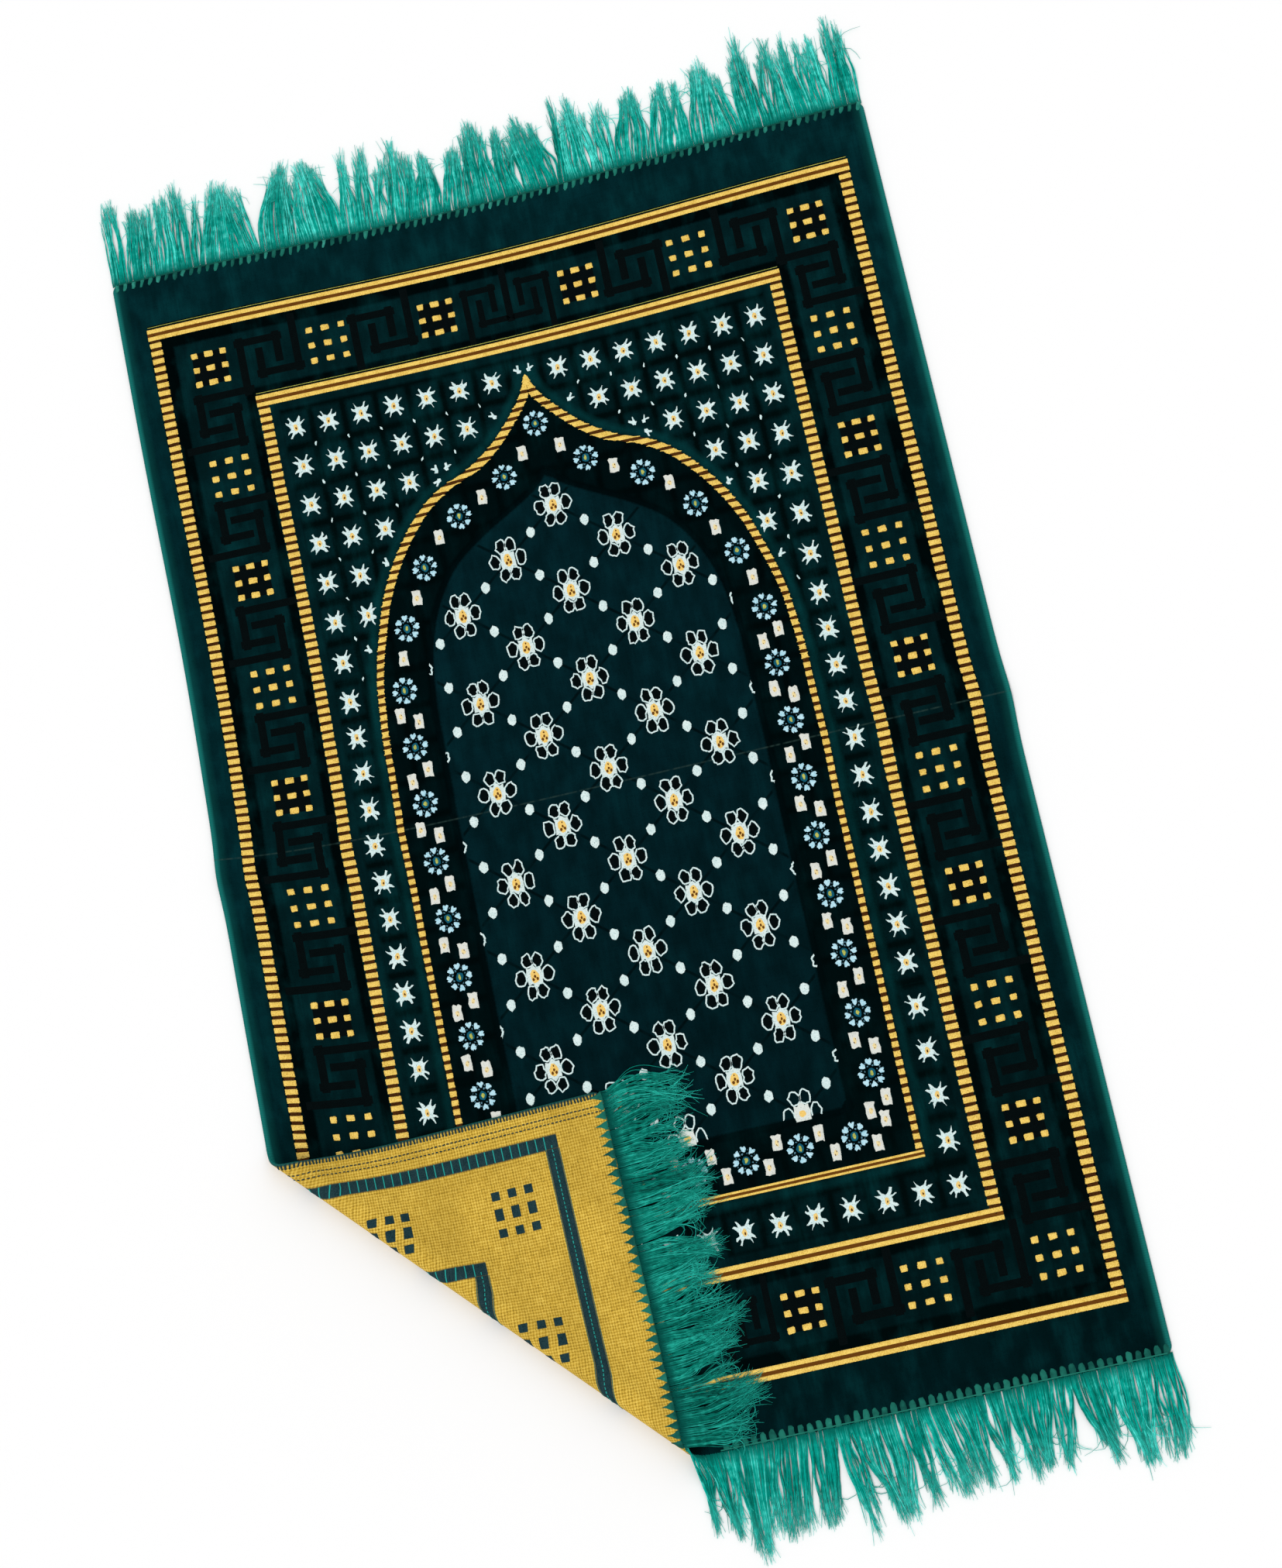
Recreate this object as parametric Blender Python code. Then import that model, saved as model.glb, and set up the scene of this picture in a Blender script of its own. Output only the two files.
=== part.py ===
"""A velvet prayer rug with fringed ends, lying flat with its foot-left corner folded over onto its face.

Metres, +Z up. X runs across the rug, Y along it with the head end at +Y. The origin is on the floor under
the middle of the rug. Every point of the rug is first named by its place on the flat cloth, (x, y), and
then laid down: eased a little, as loose cloth is, and carried round the fold where it lies past it.
"""

from math import pi

import bmesh
import bpy
import numpy as np
from mathutils import Vector

# Cloth, between its two selvages and its two cut ends.
RUG_WIDTH = 0.680
RUG_LENGTH = 1.100
CLOTH_THICK = 0.0022
CORNER_RADIUS = 0.007
CELL = 0.052

# The folded corner: how much of the left and of the foot edge it takes, and how the fold is rolled.
FOLDED_LEFT = 0.307
FOLDED_FOOT = 0.2955
FOLD_RADIUS = 0.0105
LAYER_GAP = 0.0007
SETTLE_LENGTH = 0.080
FLAP_SLIP = 0.125
ROLL_STEPS = 12
SETTLE_STEPS = 4

# How the loose cloth lies: the head end sags in the middle, the left side draws in, the crease springs.
HEAD_SAG = 0.0080
HEAD_SAG_FROM = 0.170
LEFT_DRAW = 0.0032
LEFT_DRAW_AT = 0.190
LEFT_DRAW_REACH = 0.150
CREASE_SPRING = 0.0018
CREASE_LIFT = 0.0010
CREASE_HALF = 0.014

# Fringe: one lock for each overcast stitch, rooted in a narrow heading strip.
LOCKS = 90
PIECE_GAP = 0.0004
HEADING_DEPTH = 0.0040
HEADING_THICK = 0.0020
LOCK_SHARE = 0.70
LOCK_TIP_WIDTH = 0.0016
LOCK_TIP_THICK = 0.0008
HEAD_LENGTH = 0.077
FOOT_LENGTH = 0.080
FLAP_LENGTH = 0.075
LENGTH_SPREAD = 0.13
LOCK_STATIONS = (0.18, 0.45, 0.75, 1.0)
WAVE_WIDE = 0.0042
WAVE_FINE = 0.0007
FALL_LENGTH = 0.026
FLAP_SWEEP = 0.13
FLAP_SWEEP_FOOT = 0.20
BARE_ROLL = (0.15, 0.78)

HALF_WIDTH = RUG_WIDTH / 2
HALF_LENGTH = RUG_LENGTH / 2
LAYER_RISE = CLOTH_THICK + LAYER_GAP

FOLD_START = np.array([-HALF_WIDTH, -HALF_LENGTH + FOLDED_LEFT])
FOLD_END = np.array([-HALF_WIDTH + FOLDED_FOOT, -HALF_LENGTH])
FOLD_ALONG = (FOLD_END - FOLD_START) / np.linalg.norm(FOLD_END - FOLD_START)
FOLD_ACROSS = np.array([FOLD_ALONG[1], -FOLD_ALONG[0]])


# ---------------------------------------------------------------------------------------- laying the cloth


def smooth(t):
    """Runs from 0 to 1 with level ends."""
    t = np.clip(t, 0.0, 1.0)
    return t * t * (3.0 - 2.0 * t)


def fold_profile():
    """The fold seen end on: for each distance s past its start, how far out (p), how high (z), how turned.

    The cloth turns at one radius a little past half a turn, then eases back to level one layer higher.
    """
    rise = 2 * FOLD_RADIUS - LAYER_RISE
    overturn = 2 * rise / SETTLE_LENGTH
    roll_length = (pi + overturn) * FOLD_RADIUS
    s = np.arange(0.0, 0.32, 0.0001)
    turn = np.where(
        s < roll_length,
        s / FOLD_RADIUS,
        pi + overturn * (1 - smooth((s - roll_length) / SETTLE_LENGTH)),
    )
    middle = (turn[1:] + turn[:-1]) / 2
    step = np.diff(s)
    p = np.concatenate([[0.0], np.cumsum(np.cos(middle) * step)])
    z = np.concatenate([[0.0], np.cumsum(np.sin(middle) * step)])
    # The last millimetre of height is shared out, so that the flap ends level one layer up.
    z += (LAYER_RISE - z[-1]) * smooth((s - roll_length) / SETTLE_LENGTH)
    return s, p, z, turn, roll_length


PROFILE_S, PROFILE_P, PROFILE_Z, PROFILE_TURN, ROLL_LENGTH = fold_profile()


def eased(x, y):
    """Where a point of the flat cloth lies once the loose cloth has settled, still without the fold."""
    across = np.clip(x / RUG_WIDTH, -0.5, 0.5)
    sag = HEAD_SAG * np.cos(pi * across) ** 2 * smooth((y - HEAD_SAG_FROM) / (HALF_LENGTH - HEAD_SAG_FROM))
    draw = LEFT_DRAW * np.exp(-(((y - LEFT_DRAW_AT) / LEFT_DRAW_REACH) ** 2)) * (0.5 - across) ** 2
    spring = CREASE_SPRING * np.exp(-((y / (2 * CREASE_HALF)) ** 2)) * 2 * across
    return x + draw + spring, y - sag


def past_fold(x, y):
    """(along, across) of a point of the flat cloth, from the line where the fold starts to roll."""
    dx = x - FOLD_START[0]
    dy = y - FOLD_START[1]
    along = dx * FOLD_ALONG[0] + dy * FOLD_ALONG[1]
    across = dx * FOLD_ACROSS[0] + dy * FOLD_ACROSS[1]
    return along, across + FOLD_RADIUS


def laid(x, y, height):
    """World points of the cloth at (x, y), height above its middle, the pile side up where it lies flat."""
    flat_x, flat_y = eased(x, y)
    along, s = past_fold(flat_x, flat_y)
    folded = s > 0
    reach = np.clip(s, 0, PROFILE_S[-1])
    p = np.interp(reach, PROFILE_S, PROFILE_P)
    z = np.interp(reach, PROFILE_S, PROFILE_Z)
    turn = np.interp(reach, PROFILE_S, PROFILE_TURN) * folded
    slid = along - FLAP_SLIP * np.clip(s - ROLL_LENGTH, 0, None)
    out = p - FOLD_RADIUS - height * np.sin(turn)
    lift = CREASE_LIFT * np.exp(-((flat_y / CREASE_HALF) ** 2)) * ~folded
    world_x = np.where(folded, FOLD_START[0] + slid * FOLD_ALONG[0] + out * FOLD_ACROSS[0], flat_x)
    world_y = np.where(folded, FOLD_START[1] + slid * FOLD_ALONG[1] + out * FOLD_ACROSS[1], flat_y)
    world_z = CLOTH_THICK / 2 + z * folded + height * np.cos(turn) + lift
    return np.stack([world_x, world_y, world_z], axis=-1)


# ------------------------------------------------------------------------------------------------- the cloth


def flat_cloth():
    """The flat cloth as a triangulated sheet, cut along a grid, along the crease and along the fold."""
    sheet = bmesh.new()
    corners = ((-1, -1), (1, -1), (1, 1), (-1, 1))
    sheet.faces.new([sheet.verts.new((a * HALF_WIDTH, b * HALF_LENGTH, 0)) for a, b in corners])

    def cut(point, normal, trim=False):
        geometry = [*sheet.verts, *sheet.edges, *sheet.faces]
        bmesh.ops.bisect_plane(
            sheet, geom=geometry, dist=1e-6, plane_co=(*point, 0), plane_no=(*normal, 0), clear_outer=trim
        )

    for side_x, side_y in corners:
        centre = np.array([side_x * (HALF_WIDTH - CORNER_RADIUS), side_y * (HALF_LENGTH - CORNER_RADIUS)])
        for turn in (pi / 8, pi / 4, 3 * pi / 8):
            outward = np.array([side_x * np.cos(turn), side_y * np.sin(turn)])
            cut(centre + outward * CORNER_RADIUS, outward, trim=True)
    for x in np.linspace(-HALF_WIDTH, HALF_WIDTH, round(RUG_WIDTH / CELL) + 1)[1:-1]:
        cut((x, 0), (1, 0))
    for y in np.linspace(-HALF_LENGTH, HALF_LENGTH, round(RUG_LENGTH / CELL) + 1)[1:-1]:
        cut((0, y), (0, 1))
    for share in (-2, -1, -0.5, 0.5, 1, 2):
        cut((0, share * CREASE_HALF), (0, 1))
    roll = np.linspace(0, ROLL_LENGTH, ROLL_STEPS + 1)
    settle = ROLL_LENGTH + SETTLE_LENGTH * np.linspace(0, 1, SETTLE_STEPS + 1)[1:]
    for s in (*roll, *settle):
        cut(FOLD_START + (s - FOLD_RADIUS) * FOLD_ACROSS, FOLD_ACROSS)
    bmesh.ops.triangulate(sheet, faces=sheet.faces[:])
    bmesh.ops.recalc_face_normals(sheet, faces=sheet.faces[:])
    if sheet.faces[0].normal.z < 0:
        bmesh.ops.reverse_faces(sheet, faces=sheet.faces[:])
    return sheet


def rug_cloth():
    """The cloth's solid: the flat sheet laid twice, half a thickness up and down, with a rim between."""
    sheet = flat_cloth()
    sheet.verts.index_update()
    flat = np.array([vert.co for vert in sheet.verts], dtype=float)
    count = len(flat)
    upper = laid(flat[:, 0], flat[:, 1], CLOTH_THICK / 2)
    lower = laid(flat[:, 0], flat[:, 1], -CLOTH_THICK / 2)
    faces = []
    for face in sheet.faces:
        corners = [vert.index for vert in face.verts]
        faces.append(corners)
        faces.append([count + index for index in reversed(corners)])
    for edge in sheet.edges:
        if edge.is_boundary:
            loop = edge.link_loops[0]
            first, second = loop.vert.index, loop.link_loop_next.vert.index
            faces.append([second, first, count + first, count + second])
    sheet.free()
    return np.concatenate([upper, lower]), faces


# ------------------------------------------------------------------------------------------------ the fringe


def lock_length(index, length):
    """Locks are uneven: two slow waves along the fringe and a short beat between neighbours."""
    beat = 0.45 * np.sin(1.9 * index) + 0.35 * np.sin(0.73 * index + 1.0) + 0.2 * np.sin(4.1 * index)
    return length * (1 - LENGTH_SPREAD + LENGTH_SPREAD * beat)


def sideways(index, t):
    """How far a lock has wandered sideways at the share t of its length; neighbours wander nearly alike."""
    slow = np.sin(0.21 * index + 0.6) + 0.5 * np.sin(0.47 * index + 2.2)
    return t**1.4 * (WAVE_WIDE * slow + WAVE_FINE * np.sin(2.3 * index)) + 0.0012 * np.sin(pi * t) * slow


def flap_frame():
    """The unit steps on the floor that a step across the cloth (x) and one past its foot edge (-y) make
    on the folded-over flap, which is the cloth mirrored in the fold and slid a little along it."""
    steps = []
    for step in ((1.0, 0.0), (0.0, -1.0)):
        along = np.dot(step, FOLD_ALONG)
        across = np.dot(step, FOLD_ACROSS)
        steps.append((along - FLAP_SLIP * across) * FOLD_ALONG - across * FOLD_ACROSS)
    return [step / np.linalg.norm(step) for step in steps]


FLAP_X, FLAP_OUT = flap_frame()


def turn_share(x, end):
    """How far round the fold a lock's root lies: 0 or less on the floor, 1 or more on the flap."""
    if end > 0:
        return 0.0
    return past_fold(x, -HALF_LENGTH - PIECE_GAP - HEADING_DEPTH)[1] / ROLL_LENGTH


def lock_course(index, x, end, length):
    """A lock's middle line after its root, as rows of world x, y and the height of its underside."""
    depth = end * (HALF_LENGTH + PIECE_GAP + HEADING_DEPTH)
    root = laid(np.array([x]), np.array([depth]), 0.0)[0]
    share = turn_share(x, end)
    t = np.array(LOCK_STATIONS)
    if share > BARE_ROLL[1]:
        near_fold = 1 - smooth((share - BARE_ROLL[1]) * ROLL_LENGTH / SETTLE_LENGTH)
        sweep = (FLAP_SWEEP + FLAP_SWEEP_FOOT * near_fold) * t
        out, side, rest = FLAP_OUT, FLAP_X, CLOTH_THICK + PIECE_GAP
        turned = np.stack([np.cos(sweep) * out[0] - np.sin(sweep) * out[1],
                           np.sin(sweep) * out[0] + np.cos(sweep) * out[1]], axis=-1)
        course = root[:2] + turned * (t * length)[:, None] + side * sideways(index, t)[:, None]
    else:
        out, side, rest = np.array([0.0, end]), np.array([1.0, 0.0]), 0.0
        course = root[:2] + out * (t * length)[:, None] + side * sideways(index, t)[:, None]
    root_low = root[2] - HEADING_THICK / 2
    low = rest + (root_low - rest) * (1 - smooth(t * length / FALL_LENGTH))
    return np.column_stack([course, low])


def fringe(end, length, flap_length):
    """A heading strip just past one cut end, with a four-sided tapering lock grown from each root face."""
    pitch = RUG_WIDTH / LOCKS
    near = end * (HALF_LENGTH + PIECE_GAP)
    far = near + end * HEADING_DEPTH
    offsets = np.array([0.0, LOCK_SHARE]) * pitch + pitch * (1 - LOCK_SHARE) / 2
    stations = (-HALF_WIDTH + np.arange(LOCKS)[:, None] * pitch + offsets).ravel()
    half = HEADING_THICK / 2
    sink = (HEADING_THICK - CLOTH_THICK) / 2
    rings = [
        laid(stations, np.full_like(stations, y), sink + height)
        for y, height in ((near, -half), (far, -half), (far, half), (near, half))
    ]
    points = list(np.stack(rings, axis=1).reshape(-1, 3))
    faces = [[0, 1, 2, 3][:: -end]]
    last = 4 * (len(stations) - 1)
    faces.append([last + corner for corner in (3, 2, 1, 0)[:: -end]])
    for station in range(len(stations) - 1):
        here, there = 4 * station, 4 * (station + 1)
        centre = stations[station : station + 2].mean()
        is_root = station % 2 == 0 and not BARE_ROLL[0] < turn_share(centre, end) < BARE_ROLL[1]
        for side in range(4):
            following = (side + 1) % 4
            quad = [here + side, there + side, there + following, here + following]
            if side == 1 and is_root:
                own = flap_length if turn_share(centre, end) > BARE_ROLL[1] else length
                grow_lock(points, faces, quad, station // 2, centre, end, own)
            else:
                faces.append(quad[:: -end])
    return np.array(points), faces


def grow_lock(points, faces, root, index, x, end, length):
    """Extends one root face into a lock: four rings that narrow to the tip, each level underneath."""
    course = lock_course(index, x, end, lock_length(index, length))
    corners = np.array([points[corner] for corner in root])
    root_side = corners[1] - corners[0]
    root_width = np.linalg.norm(root_side)
    previous = corners.mean(axis=0)[:2]
    ring = root
    for share, place in zip(LOCK_STATIONS, course):
        heading = place[:2] - previous
        heading /= np.linalg.norm(heading)
        side = np.array([-heading[1], heading[0]])
        side *= np.sign(side @ root_side[:2])
        width = root_width + (LOCK_TIP_WIDTH - root_width) * share**1.5
        thick = HEADING_THICK + (LOCK_TIP_THICK - HEADING_THICK) * share
        flipped = corners[0, 2] > corners[3, 2]
        bottom, top = place[2], place[2] + thick
        lows, highs = (top, bottom) if flipped else (bottom, top)
        first = len(points)
        for reach, level in ((-1, lows), (1, lows), (1, highs), (-1, highs)):
            points.append(np.array([*(place[:2] + reach * width / 2 * side), level]))
        new_ring = [first, first + 1, first + 2, first + 3]
        for corner in range(4):
            following = (corner + 1) % 4
            faces.append([ring[corner], ring[following], new_ring[following], new_ring[corner]][::-end])
        ring = new_ring
        previous = place[:2]
    faces.append(ring[::-end])


# ------------------------------------------------------------------------------------- objects and materials


def finish(name, colour, roughness, sheen):
    material = bpy.data.materials.new(name)
    material.use_nodes = True
    shader = material.node_tree.nodes["Principled BSDF"]
    shader.inputs["Base Color"].default_value = (*colour, 1)
    shader.inputs["Roughness"].default_value = roughness
    shader.inputs["Metallic"].default_value = 0.0
    shader.inputs["Sheen Weight"].default_value = sheen
    return material


def add_node(name, points, faces, material):
    """One object from world points and faces, with its normals made to face out."""
    mesh = bpy.data.meshes.new(name)
    mesh.from_pydata([Vector(point) for point in points], [], faces)
    solid = bmesh.new()
    solid.from_mesh(mesh)
    bmesh.ops.recalc_face_normals(solid, faces=solid.faces[:])
    solid.to_mesh(mesh)
    solid.free()
    mesh.materials.append(material)
    mesh.shade_smooth()
    mesh.set_sharp_from_angle(angle=pi / 5)
    thing = bpy.data.objects.new(name, mesh)
    bpy.context.scene.collection.objects.link(thing)
    return thing


def main():
    for thing in list(bpy.data.objects):
        bpy.data.objects.remove(thing)
    velvet = finish("teal_velvet", (0.006, 0.045, 0.052), 0.85, 0.3)
    yarn = finish("emerald_yarn", (0.005, 0.29, 0.22), 0.55, 0.1)
    add_node("rug_cloth", *rug_cloth(), velvet)
    add_node("fringe_head", *fringe(1, HEAD_LENGTH, HEAD_LENGTH), yarn)
    add_node("fringe_foot", *fringe(-1, FOOT_LENGTH, FLAP_LENGTH), yarn)


main()
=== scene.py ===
# %% [markdown]
# # A velvet prayer rug with fringed ends
#
# The rug is one length of cut velvet with a dark teal pile face and a gold woven back. A long fringe is
# laid in along both cut ends. It lies flat, with its foot-left corner folded over onto its face. The packed
# model gives the frame: metres, +Z up, +Y towards the head end. Everything below is laid onto that frame.

# %% The frame
from json import dumps
from math import pi, radians

import bmesh
import bpy
import numpy as np
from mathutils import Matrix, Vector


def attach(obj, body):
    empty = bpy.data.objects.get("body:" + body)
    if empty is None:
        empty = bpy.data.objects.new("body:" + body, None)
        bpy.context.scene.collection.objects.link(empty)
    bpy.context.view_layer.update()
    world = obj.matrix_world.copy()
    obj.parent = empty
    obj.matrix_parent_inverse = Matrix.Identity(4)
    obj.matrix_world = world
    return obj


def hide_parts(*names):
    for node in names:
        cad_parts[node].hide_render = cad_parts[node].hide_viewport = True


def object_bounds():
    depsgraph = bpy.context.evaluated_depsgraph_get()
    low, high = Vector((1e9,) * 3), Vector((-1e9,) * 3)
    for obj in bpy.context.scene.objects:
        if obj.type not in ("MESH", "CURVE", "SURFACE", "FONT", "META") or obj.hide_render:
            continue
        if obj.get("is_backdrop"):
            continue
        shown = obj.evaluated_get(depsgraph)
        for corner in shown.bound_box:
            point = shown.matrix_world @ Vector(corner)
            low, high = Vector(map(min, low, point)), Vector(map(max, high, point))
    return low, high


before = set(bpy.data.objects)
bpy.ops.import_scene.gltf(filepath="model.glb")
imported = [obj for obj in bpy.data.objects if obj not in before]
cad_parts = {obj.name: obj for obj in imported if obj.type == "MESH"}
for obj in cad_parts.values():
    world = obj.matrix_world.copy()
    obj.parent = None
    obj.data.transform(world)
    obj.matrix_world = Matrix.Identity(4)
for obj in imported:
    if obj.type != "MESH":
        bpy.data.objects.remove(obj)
cad_box = [list(corner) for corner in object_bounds()]
chance = np.random.default_rng(11)
print("frame:", sorted(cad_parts), "from", cad_box[0], "to", cad_box[1])

# %% [markdown]
# ## Camera, floor and light
#
# The rug was photographed from above, a little from the foot end, and the picture was turned on its side
# by a few degrees. A long lens 2.5 m above the floor gives that mild perspective. The floor is plain and
# pale. Light comes from a wide soft sun and an even white sky, so a flat textile keeps its own colours and
# only tufts, stitches and threads throw small shadows.

# %% Camera
camera = bpy.data.cameras.new("camera")
camera.lens = 71.15
camera.sensor_width = 36.0
camera_object = bpy.data.objects.new("camera", camera)
camera_object.location = (0.19554, -0.64337, 2.50288)
camera_object.rotation_euler = [radians(turn) for turn in (13.210, 6.795, -11.893)]
bpy.context.scene.collection.objects.link(camera_object)
bpy.context.scene.camera = camera_object
bpy.context.scene.view_settings.view_transform = "Standard"

# %% Floor and light
FLOOR_HALF = 4.0
FLOOR_DROP = 0.0002
CORNERS = ((-1, -1), (1, -1), (1, 1), (-1, 1))

floor_mesh = bpy.data.meshes.new("floor")
floor_corners = [(x * FLOOR_HALF, y * FLOOR_HALF, -FLOOR_DROP) for x, y in CORNERS]
floor_mesh.from_pydata(floor_corners, [], [(0, 1, 2, 3)])
floor = bpy.data.objects.new("floor", floor_mesh)
bpy.context.scene.collection.objects.link(floor)
floor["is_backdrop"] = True

world = bpy.data.worlds.new("sky")
world.use_nodes = True
sky = world.node_tree.nodes["Background"]
sky.inputs["Color"].default_value = (1.0, 1.0, 1.0, 1.0)
sky.inputs["Strength"].default_value = 0.80
bpy.context.scene.world = world


def add_sun(name, strength, spread, turn):
    """A soft lamp: its light comes from a disc of sky spread degrees wide."""
    lamp = bpy.data.lights.new(name, "SUN")
    lamp.energy = strength
    lamp.angle = radians(spread)
    lamp_object = bpy.data.objects.new(name, lamp)
    lamp_object.rotation_euler = [radians(angle) for angle in turn]
    bpy.context.scene.collection.objects.link(lamp_object)


add_sun("key", 0.85, 24, (28, -24, 0))
add_sun("fill", 0.25, 60, (-35, 30, 0))

# %% [markdown]
# ## How the cloth lies
#
# Every point of the rug is named by its place on the flat cloth, x across it and y along it, and is then
# laid down by formula: the loose cloth is eased a little, and past the fold it is rolled over through half
# a turn and comes to rest on its own face. The same formula lays the pile, the tufts, the woven back and
# the stitches, so they all stay together. A cloth simulation would crumple a fold like this in its own
# way, while the formula puts the fold exactly where it lies.

# %% Driving sizes, as the solids have them
RUG_WIDTH = 0.680
RUG_LENGTH = 1.100
CLOTH_THICK = 0.0022
CORNER_RADIUS = 0.007
FOLDED_LEFT = 0.307
FOLDED_FOOT = 0.2955
FOLD_RADIUS = 0.0105
LAYER_GAP = 0.0007
SETTLE_LENGTH = 0.080
FLAP_SLIP = 0.125
HEAD_SAG = 0.0080
HEAD_SAG_FROM = 0.170
LEFT_DRAW = 0.0032
LEFT_DRAW_AT = 0.190
LEFT_DRAW_REACH = 0.150
CREASE_SPRING = 0.0018
CREASE_LIFT = 0.0010
CREASE_HALF = 0.014
PROFILE_REACH = 0.32
PROFILE_STEP = 0.0001

HALF_WIDTH = RUG_WIDTH / 2
HALF_LENGTH = RUG_LENGTH / 2
HALF_THICK = CLOTH_THICK / 2
LAYER_RISE = CLOTH_THICK + LAYER_GAP
FOLD_START = np.array([-HALF_WIDTH, -HALF_LENGTH + FOLDED_LEFT])
FOLD_END = np.array([-HALF_WIDTH + FOLDED_FOOT, -HALF_LENGTH])
FOLD_ALONG = (FOLD_END - FOLD_START) / np.linalg.norm(FOLD_END - FOLD_START)
FOLD_ACROSS = np.array([FOLD_ALONG[1], -FOLD_ALONG[0]])


# %% Laying the cloth
def smooth(t):
    """3t^2 - 2t^3: runs from 0 to 1 with level ends."""
    t = np.clip(t, 0.0, 1.0)
    return t * t * (3.0 - 2.0 * t)


def unit(vectors):
    return vectors / (np.linalg.norm(vectors, axis=-1, keepdims=True) + 1e-12)


def places_at(x, y):
    """Places (count, 2) from an array and a number, or from two arrays."""
    return np.stack(np.broadcast_arrays(x, y), axis=-1)


def fold_profile():
    """The fold seen end on: for each distance s past its start, how far out, how high and how turned.

    The turn grows as s / radius to a little past half a turn, then eases back to level one layer up.
    """
    rise = 2 * FOLD_RADIUS - LAYER_RISE
    overturn = 2 * rise / SETTLE_LENGTH
    roll_length = (pi + overturn) * FOLD_RADIUS
    s = np.arange(0.0, PROFILE_REACH, PROFILE_STEP)
    eased_back = pi + overturn * (1 - smooth((s - roll_length) / SETTLE_LENGTH))
    turn = np.where(s < roll_length, s / FOLD_RADIUS, eased_back)
    middle = (turn[1:] + turn[:-1]) / 2
    out = np.concatenate([[0.0], np.cumsum(np.cos(middle) * np.diff(s))])
    up = np.concatenate([[0.0], np.cumsum(np.sin(middle) * np.diff(s))])
    up += (LAYER_RISE - up[-1]) * smooth((s - roll_length) / SETTLE_LENGTH)
    return s, out, up, turn, roll_length


PROFILE_S, PROFILE_OUT, PROFILE_UP, PROFILE_TURN, ROLL_LENGTH = fold_profile()


def eased(x, y):
    """The settled cloth without its fold: the head end sags by a squared cosine, the left side draws in by
    a bell curve, and the crease springs a little wider on both sides."""
    across = np.clip(x / RUG_WIDTH, -0.5, 0.5)
    sag = HEAD_SAG * np.cos(pi * across) ** 2 * smooth((y - HEAD_SAG_FROM) / (HALF_LENGTH - HEAD_SAG_FROM))
    draw = LEFT_DRAW * np.exp(-(((y - LEFT_DRAW_AT) / LEFT_DRAW_REACH) ** 2)) * (0.5 - across) ** 2
    spring = CREASE_SPRING * np.exp(-((y / (2 * CREASE_HALF)) ** 2)) * 2 * across
    return x + draw + spring, y - sag


def past_fold(x, y):
    """(along, across) from the line where the fold starts to roll: two dot products."""
    dx = x - FOLD_START[0]
    dy = y - FOLD_START[1]
    along = dx * FOLD_ALONG[0] + dy * FOLD_ALONG[1]
    across = dx * FOLD_ACROSS[0] + dy * FOLD_ACROSS[1]
    return along, across + FOLD_RADIUS


def laid(x, y, height):
    """World points of the cloth at (x, y), height above its middle. Below the fold the point only moves to
    its eased place; past it the point follows the profile, and height is measured square to the cloth."""
    flat_x, flat_y = eased(x, y)
    along, s = past_fold(flat_x, flat_y)
    folded = s > 0
    reach = np.clip(s, 0, PROFILE_S[-1])
    up = np.interp(reach, PROFILE_S, PROFILE_UP)
    turn = np.interp(reach, PROFILE_S, PROFILE_TURN) * folded
    slid = along - FLAP_SLIP * np.clip(s - ROLL_LENGTH, 0, None)
    out = np.interp(reach, PROFILE_S, PROFILE_OUT) - FOLD_RADIUS - height * np.sin(turn)
    lift = CREASE_LIFT * np.exp(-((flat_y / CREASE_HALF) ** 2)) * ~folded
    world_x = np.where(folded, FOLD_START[0] + slid * FOLD_ALONG[0] + out * FOLD_ACROSS[0], flat_x)
    world_y = np.where(folded, FOLD_START[1] + slid * FOLD_ALONG[1] + out * FOLD_ACROSS[1], flat_y)
    return np.stack([world_x, world_y, HALF_THICK + up * folded + height * np.cos(turn) + lift], axis=-1)


print(f"fold: the roll takes {ROLL_LENGTH * 1000:.1f} mm of cloth")

# %% [markdown]
# ## From arrays to pieces
#
# A piece is a set of numpy arrays: its points, its faces by number of corners, and for each point the place
# on the flat cloth that it belongs to. The place is stored as an attribute called woven, which the
# finishes read, so a weave follows the cloth round its fold.


# %% Making a piece
def add_piece(name, points, faces, materials, slot, woven=None, face_finish=None, **marks):
    """One object at the origin. faces is a list of whole-number arrays, each (count, corners)."""
    faces = [np.asarray(group) for group in faces if len(group)]
    corners = np.concatenate([group.ravel() for group in faces]).astype(np.int32)
    sizes = np.concatenate([np.full(len(group), group.shape[1]) for group in faces])
    mesh = bpy.data.meshes.new(name)
    mesh.vertices.add(len(points))
    mesh.loops.add(len(corners))
    mesh.polygons.add(len(sizes))
    mesh.vertices.foreach_set("co", np.asarray(points, dtype=np.float32).ravel())
    mesh.loops.foreach_set("vertex_index", corners)
    mesh.polygons.foreach_set("loop_start", np.concatenate([[0], np.cumsum(sizes)[:-1]]).astype(np.int32))
    if face_finish is not None:
        mesh.polygons.foreach_set("material_index", face_finish.astype(np.int32))
    mesh.update(calc_edges=True)
    if woven is not None:
        places = mesh.attributes.new("woven", "FLOAT_VECTOR", "POINT")
        places.data.foreach_set("vector", np.pad(woven, ((0, 0), (0, 1))).astype(np.float32).ravel())
    for mark, values in marks.items():
        layer = mesh.attributes.new(mark, "FLOAT", "POINT")
        layer.data.foreach_set("value", np.asarray(values, dtype=np.float32).ravel())
    for material in materials:
        mesh.materials.append(material)
    mesh.shade_smooth()
    mesh.set_sharp_from_angle(angle=radians(50))
    thing = bpy.data.objects.new(name, mesh)
    bpy.context.scene.collection.objects.link(thing)
    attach(thing, "root")
    triangles = int((sizes - 2).sum())
    print(f"{name}: {len(points)} points, {triangles} triangles")
    return thing


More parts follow.
